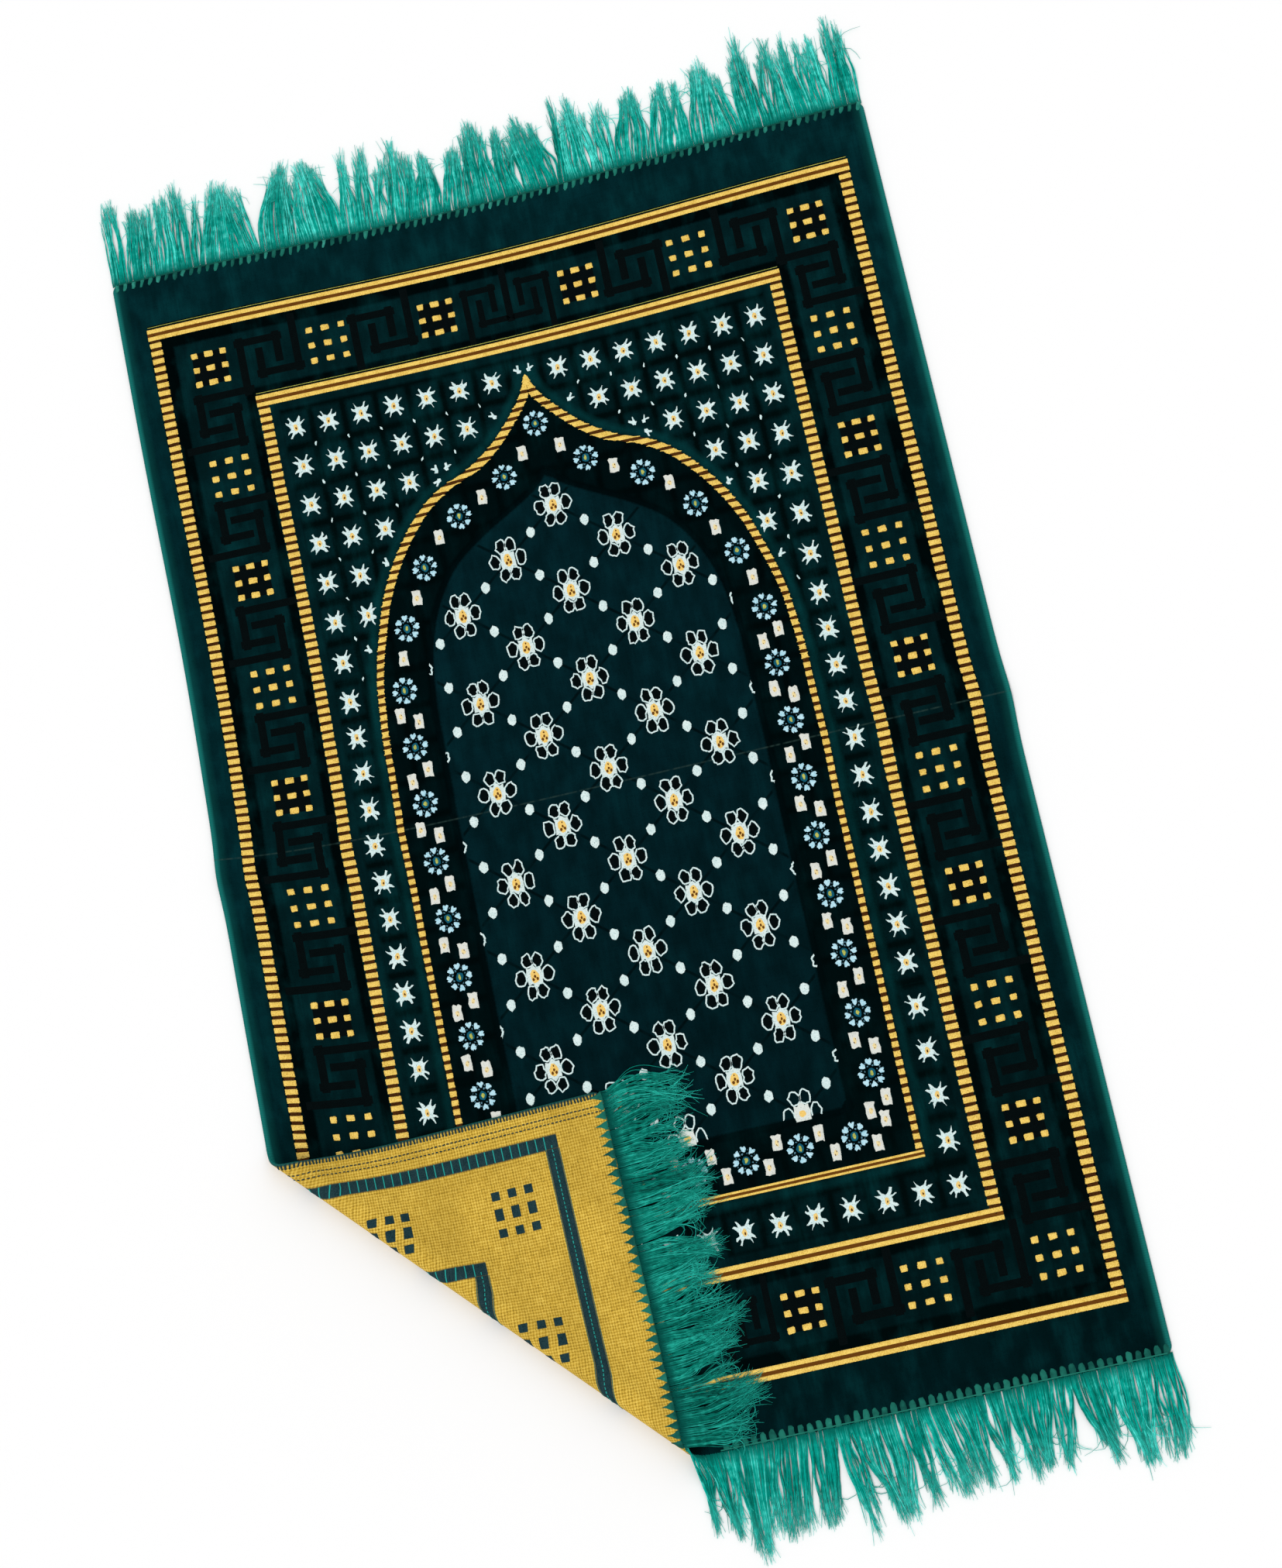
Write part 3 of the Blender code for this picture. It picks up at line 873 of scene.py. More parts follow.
def placed(shape, centres, wobble, turn=0.0):
    """A motif's outline (points, 2) set at each centre. Each copy is turned at random by up to turn, and
    each of its points is moved by up to wobble."""
    shape = np.asarray(shape, dtype=float)
    centres = np.asarray(centres, dtype=float).reshape(-1, 2)
    angles = chance.uniform(-turn, turn, len(centres))
    turned = np.stack([
        shape[None, :, 0] * np.cos(angles)[:, None] - shape[None, :, 1] * np.sin(angles)[:, None],
        shape[None, :, 0] * np.sin(angles)[:, None] + shape[None, :, 1] * np.cos(angles)[:, None],
    ], axis=-1)
    shaken = turned + chance.uniform(-wobble, wobble, turned.shape)
    return shaken + centres[:, None]


def pad_shape(half_x, half_y, nip):
    """A block's outline: eight points, its corners nipped by a share of the smaller half."""
    cut = nip * min(half_x, half_y)
    near_x, near_y = half_x - cut, half_y - cut
    return np.array([
        (half_x, near_y), (near_x, half_y), (-near_x, half_y), (-half_x, near_y),
        (-half_x, -near_y), (-near_x, -half_y), (near_x, -half_y), (half_x, -near_y),
    ])


def oval(half_x, half_y, points):
    """An ellipse, counter-clockwise."""
    angle = np.arange(points) * 2 * pi / points
    return np.stack([half_x * np.cos(angle), half_y * np.sin(angle)], axis=-1)


# %% Collecting the motifs by colour
parts = {colour: [] for colour in ("gold", "brown", "black", "white", "yellow", "olive", "blue", "back")}


def add_pads(colour, outlines, rise, draw_in, side=FACE, **more):
    parts[colour].append(raise_outlines(outlines, rise, draw_in, side, **more))


def add_line(colour, start, end, half, rise, side=FACE, step=0.006, **more):
    parts[colour].append(carry_line(*straight(start, end, half, step), rise, side, **more))


def add_motifs(colour, shape, centres, kind, turn=0.0, **more):
    """One outline at many places. Its kind says how high it stands, how far its walls draw in and how far
    its points stray, in metres."""
    rise, draw_in, stray = kind
    add_pads(colour, placed(shape, centres, stray, turn), rise, draw_in, **more)


# %% [markdown]
# ### Gold frames
#
# Each frame is two gold ribs along its head and foot, and a column of short gold blocks down each side,
# over brown lines that show in the gaps between the gold: partly the ground there, partly painted shade.
# The ribs run out over the columns' ends, and outside the head ribs runs a thin olive line on black. A
# column's blocks sit on the loom's pick pitch, so they are counted and not measured out.

# %% Ribs and columns
GOLD_RISE = 0.00050
BLOCK_RISE = 0.75 * GOLD_RISE
BLOCK_WALL = 0.0009
BLOCK_STRAY = 0.00022
BLOCK_NIP = 0.22
BROWN_RISE = 0.00015
BROWN_INSET = 0.0003
RIB_HALF = 0.00218
COLUMN_CLEAR = 0.0009
EDGE_OUT = 0.00170
EDGE_INSET = 0.0010
EDGE_HALF = 0.00028
EDGE_DARK_HALF = 0.0017


def column_blocks(left, right, foot, head):
    """Blocks between two upright lines, one for each pick, under the ribs and above them."""
    count = int((head - foot) / PICK)
    pitch = (head - foot) / count
    centres = places_at((left + right) / 2, foot + (np.arange(count) + 0.5) * pitch)
    shape = pad_shape((right - left) / 2, (pitch - PICK_LINE) / 2, BLOCK_NIP)
    add_motifs("gold", shape, centres, (BLOCK_RISE, BLOCK_WALL, BLOCK_STRAY))


# The brown lines under the ribs and the columns show in the gaps between the gold: partly the ground,
# partly painted shade.
def gold_frame(left, right, foot, head):
    for end, inward in ((head, -1), (foot, 1)):
        for centre in (end + inward * RIB_HALF, end + inward * (BAR - RIB_HALF)):
            add_line("gold", (left, centre), (right, centre), RIB_HALF, GOLD_RISE)
        middle = end + inward * BAR / 2
        add_line("brown", (left, middle), (right, middle), BAR / 2, BROWN_RISE, warm=1.0)
    ends = (left + EDGE_INSET, head + EDGE_OUT), (right - EDGE_INSET, head + EDGE_OUT)
    add_line("olive", *ends, EDGE_HALF, 0.6 * GOLD_RISE)
    add_line("black", *ends, EDGE_DARK_HALF, BROWN_RISE)
    for start in (left, right - BAR):
        column_blocks(start, start + BAR, foot + BAR + COLUMN_CLEAR, head - BAR - COLUMN_CLEAR)
        middle = start + BAR / 2
        ends = (middle, foot + BAR / 2), (middle, head - BAR / 2)
        add_line("brown", *ends, BAR / 2 - BROWN_INSET, BROWN_RISE, warm=0.0)


for box in (OUTER_FRAME, INNER_FRAME):
    gold_frame(*box)
print(f"frames: {sum(len(part[0]) for part in parts['gold'])} points of gold")

# %% [markdown]
# ### The niche
#
# The niche's gold line is carried along the arch. It is cut into blocks by the same picks as the columns.
# The cuts stay level while the line turns, so the blocks grow long where the arch is shallow.

# %% Arch, sides and foot of the niche
FIRST_CUT = 0.0045
LAST_CUT = 0.066
CUT_STEPS = 7
STEEPEST = 0.45
PAST_MIDDLE = 0.0002
HEAD_WIDER = 0.0015
WIDER_FROM = 0.10
WIDER_OVER = 0.15
ARCH_STRAY = 0.0004
FOOT_LINE_HALF = 0.0011


def niche_band():
    """Outer and inner edges of the gold line, as one row of points for each block. Both are read off at the
    same heights, since the cuts are level: the bar's width over the cosine of the slope parts them."""
    heights = np.arange(arch_line[0, 1] - FIRST_CUT, LAST_CUT, -PICK)
    share = 0.5 * PICK_LINE / PICK
    height = heights[:-1, None] - np.linspace(share, 1 - share, CUT_STEPS)[None] * PICK
    order = np.argsort(arch_line[:, 1])
    half = np.interp(height, arch_line[order, 1], arch_line[order, 0])
    slope_x, slope_y = np.gradient(arch_line[:, 0]), np.gradient(arch_line[:, 1])
    normal_x = np.interp(height, arch_line[order, 1], (slope_y / np.hypot(slope_x, slope_y))[order])
    width = NICHE_BAR + HEAD_WIDER * smooth((height - WIDER_FROM) / WIDER_OVER)
    inner = np.maximum(half - width / np.clip(-normal_x, STEEPEST, 1), -PAST_MIDDLE)
    return np.stack([half, height], axis=-1), np.stack([inner, height], axis=-1)


def both_sides(right_hand):
    """Outlines of the right half and their mirror images, turned to run the same way round."""
    left_hand = (right_hand * (-1, 1))[:, ::-1]
    return np.concatenate([right_hand, left_hand]) + (PATTERN_X, 0)


outer_edge, inner_edge = niche_band()
blocks = np.concatenate([outer_edge[:, ::-1], inner_edge], axis=1)
blocks = blocks + chance.uniform(-ARCH_STRAY, ARCH_STRAY, blocks.shape)
add_pads("gold", both_sides(blocks), BLOCK_RISE, BLOCK_WALL)
# Brown lines under the arch's blocks, showing in the gaps between them: partly the ground, partly painted
# shade.
for mirror in (1, -1):
    edges = [edge.reshape(-1, 2) * (mirror, 1) + (PATTERN_X, 0) for edge in (outer_edge, inner_edge)]
    parts["brown"].append(carry_line(*edges, BROWN_RISE, warm=0.2))

# A cap over the tip, where the two halves of the line meet.
tip_cap = np.array([
    (0.0, 6.0), (-2.4, 3.2), (-3.0, -0.8), (-4.7, -5.2), (0.0, -5.9), (4.7, -5.2), (3.0, -0.8), (2.4, 3.2),
]) / 1000 + (PATTERN_X, 0.3757)
add_pads("gold", tip_cap[None], GOLD_RISE * 0.85, 0.0006)

side_top = outer_edge[-1, -1, 1] - PICK_LINE
# Brown under the niche's side columns, showing between the blocks: partly the ground, partly painted shade.
for mirror in (1, -1):
    edges = sorted([PATTERN_X + mirror * NICHE_HALF, PATTERN_X + mirror * (NICHE_HALF - NICHE_BAR)])
    column_blocks(*edges, NICHE_FOOT + 0.0062, side_top)
    ends = (sum(edges) / 2, NICHE_FOOT + 0.003), (sum(edges) / 2, side_top + PICK)
    add_line("brown", *ends, NICHE_BAR / 2 - 0.0002, BROWN_RISE, warm=0.1)
# Two gold lines along the niche's foot, with brown between them that is partly painted shade in the gap.
for colour, centre, half, rise, marks in (
    ("gold", 0.0012, FOOT_LINE_HALF, GOLD_RISE * 0.8, {}),
    ("gold", 0.0052, FOOT_LINE_HALF, GOLD_RISE * 0.8, {}),
    ("brown", 0.0032, 0.0034, BROWN_RISE, {"warm": 1.0}),
):
    ends = (PATTERN_X - NICHE_HALF, NICHE_FOOT + centre), (PATTERN_X + NICHE_HALF, NICHE_FOOT + centre)
    add_line(colour, *ends, half, rise, **marks)
print(f"niche: {len(blocks) * 2} blocks along the arch")

# %% [markdown]
# ### Nine-square blocks and meander keys
#
# Blocks of nine gold squares march round the border. Every other block is close-set on black, and the rest
# are wider spaced on teal. Between two blocks winds a meander key, black lines on teal: an old border
# pattern of two hooked lines, each the other one turned half round. Only the pile's tone draws it.

# %% Border blocks
BORDER_X = 0.2685
BORDER_HEAD = 0.4530
BORDER_FOOT = -0.4560
SIDE_FIRST = 0.3495
SIDE_PITCH = 0.0995
SIDE_BLOCKS = 8
END_COLUMNS = (-0.2685, -0.1628, -0.0645, 0.0620, 0.1620, 0.2685)
# Half sizes of the squares: across and along, then across in the middle column of both kinds of block.
SQUARE_HALF = (0.00315, 0.00292)
WIDE_HALF = (0.0042, 0.0038)
SQUARE_NIP = 0.3
SQUARE_STRAY = 0.00035
SQUARE_WALL = 0.0007
CLOSE = (0.01285, 0.01350)
SPACED = (0.01450, 0.01470)
PLATE_SHAPE = pad_shape(CLOSE[0] + 0.0030, CLOSE[1] + 0.0026, 0.12)
PLATE = (0.00012, 0.0010, 0.0004)
BACK_SQUARE = (0.00335, 0.00430)
BACK_MIDDLE = 0.00465
BACK_RISE = 0.00030
BACK_SQUARE_STEP = 0.0015


def nine_squares(centre, close):
    """Three columns of three, the middle one wider. On the back they are short bars, a little longer, with
    stations close enough to follow the fold."""
    pitch_x, pitch_y = CLOSE if close else SPACED
    outlines = []
    for column in (-1, 0, 1):
        half_x = SQUARE_HALF[0] if column else WIDE_HALF[0 if close else 1]
        back_x = BACK_SQUARE[0] if column else BACK_MIDDLE
        places = [(centre[0] + column * pitch_x, centre[1] + row * pitch_y) for row in (-1, 0, 1)]
        outlines.append(placed(pad_shape(half_x, SQUARE_HALF[1], SQUARE_NIP), places, SQUARE_STRAY))
        for x, y in places:
            ends = (x - back_x, y), (x + back_x, y)
            add_line("back", *ends, BACK_SQUARE[1], BACK_RISE, BACK, BACK_SQUARE_STEP, tone=0.0)
    add_pads("gold", np.concatenate(outlines), GOLD_RISE, SQUARE_WALL)


side_rows = [SIDE_FIRST - SIDE_PITCH * k for k in range(SIDE_BLOCKS)]
close_set = {BORDER_HEAD: (1, 0, 1, 1, 0, 1), BORDER_FOOT: (0, 0, 1, 1, 0, 0)}
block_places = [(x, end, kind) for end, kinds in close_set.items() for x, kind in zip(END_COLUMNS, kinds)]
block_places += [(x, y, k % 2) for k, y in enumerate(side_rows) for x in (-BORDER_X, BORDER_X)]
for x, y, close in block_places:
    nine_squares((x + PATTERN_X, y), close)
    if close:
        add_motifs("black", PLATE_SHAPE, [(x + PATTERN_X, y)], PLATE, crown=1.0)
print(f"border: {len(block_places)} nine-square blocks")

# %% Meander keys
KEY_LINE = 0.0050
KEY_RISE = 0.00013
KEY_SHOULDER = 0.24
SIDE_KEY = ((0.0295, 0.0228), (-0.0158, 0.0228), (-0.0158, -0.0080), (0.0040, -0.0080))
HEAD_KEY = ((-0.0244, -0.0290), (-0.0244, 0.0158), (0.0084, 0.0158), (0.0084, -0.0032))
# The two keys in the middle of an end are narrower and stand close together.
MIDDLE_KEY = 0.74
MIDDLE_KEY_X = 0.0184
MIDDLE_KEY_LINE = 0.8 * KEY_LINE


def key_lines(corners, centre, flip_x=1, half=KEY_LINE):
    """Both hooks of a key: a line through the corners, and the same turned half round the centre."""
    for turn in (1, -1):
        spots = np.array(corners) * (turn * flip_x, turn) + centre
        for start, end in zip(spots[:-1], spots[1:]):
            reach = unit(end - start) * half
            add_line("black", start - reach, end + reach, half, KEY_RISE, shoulder=KEY_SHOULDER)


column_rows = [BORDER_HEAD, *side_rows, BORDER_FOOT]
for upper, lower in zip(column_rows[:-1], column_rows[1:]):
    for side_x, flip in ((-BORDER_X, 1), (BORDER_X, -1)):
        key_lines(SIDE_KEY, (side_x + PATTERN_X, (upper + lower) / 2 + 0.0010), flip)
for end, upright in ((BORDER_HEAD, 1), (BORDER_FOOT, -1)):
    key_y = end + 0.0005
    for left, right in zip(END_COLUMNS[:-1], END_COLUMNS[1:]):
        middle = (left + right) / 2 + PATTERN_X
        if abs(middle) > 0.02:
            key_lines([(x, y * upright) for x, y in HEAD_KEY], (middle, key_y), 1 if middle < 0 else -1)
            continue
        for half in (-1, 1):
            corners = [(MIDDLE_KEY * x * half, y * upright) for x, y in HEAD_KEY]
            key_lines(corners, (middle - half * MIDDLE_KEY_X, key_y), half=MIDDLE_KEY_LINE)
print(f"keys: {len(parts['black'])} black plates and lines so far")

# %% [markdown]
# ### Stars of the spandrels
#
# White eight-armed stars fill the ground between the inner frame and the niche, in cells with a small white
# fleck at each corner. A star is an outline by angle and radius, and any of its points that come too near
# the niche are pushed out of it. Where the arch cuts a star, a loom simply stops, and only a small fork is
# left of each arm, so those stars are made as their forks.

# %% Stars and flecks
STAR_QUARTER = np.array([
    (0, 4.7), (18, 5.3), (26, 8.0), (32, 10.3), (38, 9.8), (42, 7.3), (48, 6.4),
    (54, 7.8), (59, 11.2), (66, 11.0), (69, 7.6), (80, 5.8),
])
STAR_TOP_RADIUS = 0.0056
STAR_FOOT_RADIUS = 0.0060
STAR_COLUMNS = range(-7, 8)
STAR_ROWS = 7
LOW_STARS = 6
CUT_CLEAR = 0.0034
WHOLE_CLEAR = 0.0105
CUT_REACH = 0.0030
FLECK_CLEAR = 0.0055
FORK_CLEAR = 0.0050
FORK_OUT = (0.0050, 0.0056)
NUDGE = 0.0001
# A fork in millimetres round its own middle.
FORK = np.array([
    (-2.0, -2.4), (0.4, -2.6), (1.0, -0.9), (3.7, 0.0), (3.2, 1.5), (0.9, 1.0),
    (1.6, 3.9), (0.1, 4.2), (-1.0, 1.0), (-2.3, 0.2),
]) / 860
# Kinds of motif: height over the pile, how far the walls draw in, how far the points stray.
STAR = (0.00040, 0.00035, 0.00075)
FLECK = (0.0003, 0.0003, 0.0005)
STAR_HEART = (0.00055, 0.0006, 0.0004)
STAR_SPECK = (0.00080, 0.0003, 0.0003)


def star_shape():
    """The quarter's rows (angle in degrees, radius in millimetres), mirrored twice."""
    angle, radius = np.radians(STAR_QUARTER[:, 0]), STAR_QUARTER[:, 1] / 1000
    right = [angle, [pi / 2], pi - angle[::-1]]
    angles = np.concatenate([*right, pi + angle[1:], [3 * pi / 2], 2 * pi - angle[:0:-1]])
    upper = [radius, [STAR_TOP_RADIUS], radius[::-1]]
    radii = np.concatenate([*upper, radius[1:], [STAR_FOOT_RADIUS], radius[:0:-1]])
    return np.stack([radii * np.cos(angles), radii * np.sin(angles)], axis=-1)


def star_centres():
    """Stars: rows above and round the arch, one column down each side and a row below the niche. Flecks:
    halfway between the stars of the upper rows."""
    head_rows = STAR_TOP - STAR_PITCH[1] * np.arange(STAR_ROWS)
    side_rows = [*(SIDE_STAR_TOP - SIDE_STAR_PITCH * np.arange(SIDE_STARS))]
    low_rows = SIDE_LAST - LOW_STAR_PITCH * np.arange(1, LOW_STARS)
    centres = [(column, y) for y in head_rows for column in STAR_COLUMNS]
    centres += [(column, y) for y in (*side_rows, *low_rows[:-1]) for column in (-7, 7)]
    centres += [(column, low_rows[-1]) for column in STAR_COLUMNS]
    flecks = [(column + 0.5, y - STAR_PITCH[1] / 2) for y in head_rows for column in STAR_COLUMNS[:-1]]
    return [np.array(spots) * (STAR_PITCH[0], 1) + (PATTERN_X, 0) for spots in (centres, flecks)]


def clear_of_niche(outlines):
    """Moves every point that lies inside the niche, or closer than CUT_CLEAR to it, straight out to that
    distance: along the slope of the signed distance, which is taken from two nearby points."""
    spots = outlines.reshape(-1, 2)
    steps = (0, 0), (NUDGE, 0), (0, NUDGE)
    depth, right, up = (depth_inside(spots + step, niche_outline) for step in steps)
    slope = unit(np.stack([right - depth, up - depth], axis=-1))
    outward = np.maximum(depth + CUT_CLEAR, 0)[:, None]
    return (spots - slope * outward).reshape(outlines.shape)


stars, flecks = star_centres()
star_depth = depth_inside(stars, niche_outline)
cut_stars = stars[(star_depth >= -WHOLE_CLEAR) & (star_depth < CUT_REACH)]
stars = stars[star_depth < -WHOLE_CLEAR]
flecks = flecks[depth_inside(flecks, niche_outline) < -FLECK_CLEAR]
add_pads("white", clear_of_niche(placed(star_shape(), stars, STAR[2])), *STAR[:2], warm=0.1)
for side_x, side_y in ((1, 1), (-1, 1), (1, -1), (-1, -1)):
    fork = (FORK * (side_x, side_y))[:: side_x * side_y]
    spots = cut_stars + np.multiply((side_x, side_y), FORK_OUT)
    spots = spots[depth_inside(spots, niche_outline) < -FORK_CLEAR]
    add_motifs("white", fork, spots, FLECK, turn=0.3, warm=0.0)
add_motifs("white", oval(0.0011, 0.0024, 6), flecks, FLECK, turn=0.5, warm=0.0)
add_motifs("yellow", oval(0.0026, 0.0038, 8), stars + (0, -0.0003), STAR_HEART, pale=0.35)
add_motifs("brown", oval(0.0010, 0.0015, 6), stars + (0.0002, -0.0010), STAR_SPECK, warm=0.6)
print(f"spandrels: {len(stars)} stars, {len(flecks)} flecks")

# %% [markdown]
# ### Rosettes and small squares of the niche's black band
#
# A band of black pile runs inside the gold line. Pale blue rosettes of eight petals follow it, with small
# white squares between them: one at a time round the arch, two by two down the sides and along the foot.

# %% The band's places
# Places on the right-hand side of the arch, as (x, y) from the middle line.
ARCH_ROSETTES = ((0.0, 0.3335), (0.0361, 0.2911), (0.0813, 0.2651), (0.1196, 0.2261), (0.1452, 0.1762))
ARCH_SQUARES = ((0.0168, 0.3089), (0.0585, 0.2779), (0.1019, 0.2506), (0.1316, 0.2014), (0.1531, 0.1505))
BAND_X = 0.1573
SIDE_ROSETTES = 9
SIDE_ROSETTE_TOP = 0.1224
SIDE_ROSETTE_PITCH = 0.0506
FOOT_ROSETTES = 4
FOOT_ROSETTE_Y = -0.3296
FOOT_ROSETTE_PITCH = 0.0449
FOOT_ROSETTE_IN = 0.0022
# The two squares of a pair stand this far to each side of the band's middle, and this far askew.
SIDE_PAIR = (0.0074, 0.0040)
FOOT_PAIR = (0.0090, 0.0050)


def mirrored(places):
    places = np.asarray(places, dtype=float).reshape(-1, 2)
    twins = places[np.abs(places[:, 0]) > 1e-6] * (-1, 1)
    return np.concatenate([places, twins]) + (PATTERN_X, 0)


side_rosettes = [(BAND_X, SIDE_ROSETTE_TOP - SIDE_ROSETTE_PITCH * k) for k in range(SIDE_ROSETTES)]
foot_rosettes = [(FOOT_ROSETTE_PITCH * k - FOOT_ROSETTE_IN * (k > 0), FOOT_ROSETTE_Y)
                 for k in range(FOOT_ROSETTES)]
rosettes = mirrored([*ARCH_ROSETTES, *side_rosettes, *foot_rosettes])
pairs = []
for k in range(SIDE_ROSETTES):
    y = SIDE_ROSETTE_TOP - SIDE_ROSETTE_PITCH * (k + 0.5)
    out, lean = SIDE_PAIR[0], SIDE_PAIR[1] * (-1) ** k
    pairs += [(BAND_X + out, y + lean), (BAND_X - out, y - lean)]
for k in range(FOOT_ROSETTES):
    x = FOOT_ROSETTE_PITCH * (k + 0.5) - FOOT_ROSETTE_IN
    out, lean = FOOT_PAIR[0], FOOT_PAIR[1] * (-1) ** k
    pairs += [(x - lean, FOOT_ROSETTE_Y + out), (x + lean, FOOT_ROSETTE_Y - out)]
squares = mirrored([*ARCH_SQUARES, *pairs])
print(f"band: {len(rosettes)} rosettes, {len(squares)} small squares")

# %% The band's motifs
# Half a petal as (outward, sideways) in millimetres: a notch, a lobe, and down to a narrow foot.
PETAL = np.array([
    (2.1, 0.0), (3.1, 1.1), (2.5, 2.5), (0.9, 2.9), (-0.9, 2.1), (-2.4, 1.0), (-3.0, 0.0),
]) / 1050
PETALS = 8
PETAL_REACH = (0.0082, 0.0092)
FIRST_PETAL = 0.04
# Small dots between the petals: how far out they stand, and their size.
DOTS = ((0.0056, 0.0009), (0.0082, 0.0007))
SQUARE = np.array([
    (4.6, 2.2), (5.0, 5.2), (2.6, 6.3), (0.0, 5.9), (-2.8, 6.5), (-4.9, 5.6),
    (-4.5, 2.0), (-5.0, -2.4), (-4.7, -6.0), (-1.6, -6.4), (2.0, -6.2), (4.6, -6.5), (5.1, -2.0),
]) / 1000 * (0.85, 1.10)
PETAL_TUFT = (0.0004, 0.0005, 0.00050)
DOT = (0.0002, 0.0003, 0.0004)
ROSETTE_RING = (0.0002, 0.0004, 0.0005)
ROSETTE_HEART = (0.0005, 0.0005, 0.0005)
SQUARE_TUFT = (0.00040, 0.0005, 0.00055)
SQUARE_HEART = (0.0005, 0.0006, 0.0004)
SQUARE_SPECK = (0.00078, 0.0002, 0.0004)


def petal_shape(angle):
    """A heart that points to the rosette's middle, turned to its angle."""
    heart = np.concatenate([PETAL, PETAL[-2:0:-1] * (1, -1)])
    turned = heart @ np.array([[np.cos(angle), np.sin(angle)], [-np.sin(angle), np.cos(angle)]])
    return turned + (PETAL_REACH[0] * np.cos(angle), PETAL_REACH[1] * np.sin(angle))


for petal in range(PETALS):
    angle = petal * pi / 4 + FIRST_PETAL
    add_motifs("blue", petal_shape(angle), rosettes, PETAL_TUFT, deep=0.0)
    between = angle + pi / PETALS
    for reach, size in DOTS:
        spots = rosettes + (reach * np.cos(between), 1.1 * reach * np.sin(between))
        add_motifs("blue", oval(size, size, 5), spots, DOT, deep=0.8)
add_motifs("blue", oval(0.0034, 0.0042, 10), rosettes, ROSETTE_RING, deep=1.0)
add_motifs("olive", oval(0.0017, 0.0027, 8), rosettes, ROSETTE_HEART)
add_motifs("white", SQUARE, squares, SQUARE_TUFT, warm=0.9)
add_motifs("yellow", oval(0.0023, 0.0032, 7), squares + (0, -0.0008), SQUARE_HEART, pale=1.0)
for spot in ((-0.0006, -0.0022), (0.0009, 0.0004)):
    add_motifs("brown", oval(0.0005, 0.0007, 5), squares + spot, SQUARE_SPECK, warm=0.9)
print(f"rosettes: {sum(len(part[0]) for part in parts['blue'])} points of pale blue")

# %% [markdown]
# ### Flowers of the field
#
# The field inside the niche holds a lattice of flowers. Each has six open ring petals round a white body
# with a yellow heart, and a plain white spot sits halfway between neighbours. A ring petal is a closed
# band: four rings of points, up from the pile, over and down into its own dark middle.

# %% Ring petals
# A flower's ring petals: x, y, half width and half height of the ring's outside, in millimetres.
RINGS = np.array([
    (-4.4, 13.4, 5.2, 6.9), (4.4, 13.4, 5.2, 6.9), (11.4, 0.2, 5.3, 7.4),
    (4.6, -13.2, 5.2, 6.8), (-4.6, -13.2, 5.2, 6.8), (-11.4, 0.2, 5.3, 7.4),
]) / 1000
RING_BAND = 0.00165
RING_POINTS = 14
RING_RISE = 0.0004
RING_STRAY = 0.0009
WHOLE_TURN = (0, 2 * pi)


def raise_rings(centres, half_x, half_y, band, arc=WHOLE_TURN):
    """Band petals. Each is a loop of four points across (outside low, outside high, inside high, inside
    low) carried round an ellipse; an open arc is closed at its ends by two caps."""
    closed = arc == WHOLE_TURN
    steps = RING_POINTS if closed else RING_POINTS // 2 + 1
    angle = arc[0] + (arc[1] - arc[0]) * np.arange(steps) / (steps if closed else steps - 1)
    shake = chance.uniform(-RING_STRAY, RING_STRAY, (len(centres), steps, 1, 2))
    insets = np.array([0.0, 0.18, 0.82, 1.0]) * band
    lifts = np.array([-SUNK, RING_RISE, RING_RISE, -SUNK])
    ring_x = (half_x - insets[None, :]) * np.cos(angle)[:, None]
    ring_y = (half_y - insets[None, :]) * np.sin(angle)[:, None]
    flat = centres[:, None, None] + np.stack([ring_x, ring_y], axis=-1)[None] + shake
    flat = flat[in_view(flat.reshape(len(centres), -1, 2), FACE)]
    count = len(flat)
    world = seated(flat[..., 0], flat[..., 1], lifts[None, None, :], FACE).reshape(-1, 3)
    here = np.arange(steps)[:, None] * 4
    following = (here + 4) % (4 * steps)
    across = np.arange(4)[None]
    over = (across + 1) % 4
    quads = np.stack([here + across, following + across, following + over, here + over], axis=-1)
    quads = quads if closed else quads[:-1]
    first = (np.arange(count) * steps * 4)[:, None, None, None]
    faces = [(first + quads[None]).reshape(-1, 4)]
    if not closed:
        caps = np.array([[3, 2, 1, 0], [(steps - 1) * 4 + k for k in range(4)]])
        faces.append((first[:, :, 0] + caps[None]).reshape(-1, 4)[:, ::-1])
    core = np.tile((0.0, 1.0, 1.0, 0.0), count * steps)
    marks = {"warm": np.full(len(world), 0.1), "core": core}
    parts["white"].append((world, faces, flat.reshape(-1, 2), marks))


# %% Flower lattice
FLOWER_CLEAR = 0.0185
SPOT_CLEAR = 0.0065
LAST_ROW = 12
BODY = np.array([
    (7.2, 2.0), (6.6, 5.0), (6.6, 7.8), (3.4, 6.9), (1.0, 9.8), (-1.0, 9.8), (-3.4, 6.9), (-6.6, 7.8),
    (-6.6, 5.0), (-7.2, 2.0), (-7.0, -3.0), (-6.8, -7.6), (-3.6, -6.9), (-0.9, -10.0), (0.9, -10.0),
    (3.6, -6.9), (6.8, -7.6), (7.0, -3.0),
]) / 1060
SPOT = np.array([
    (4.0, 1.2), (3.0, 3.6), (1.2, 4.6), (-0.6, 5.5), (-2.4, 4.0), (-3.9, 1.8),
    (-4.0, -1.4), (-2.6, -3.8), (-0.4, -5.5), (1.6, -4.6), (3.4, -2.8),
]) / 1000
HOLLOW_IN = 0.0013
HOLLOW = (0.00010, 0.0004, 0.0006)
BODY_TUFT = (0.00045, 0.0005, 0.00055)
CUT_BODY_TUFT = (0.00045, 0.0004, 0.0004)
CUT_HEART = (0.00060, 0.0006, 0.0003)
FLOWER_HEART = (0.00060, 0.0006, 0.0005)
HEART_DOT = (0.00085, 0.0002, 0.0002)
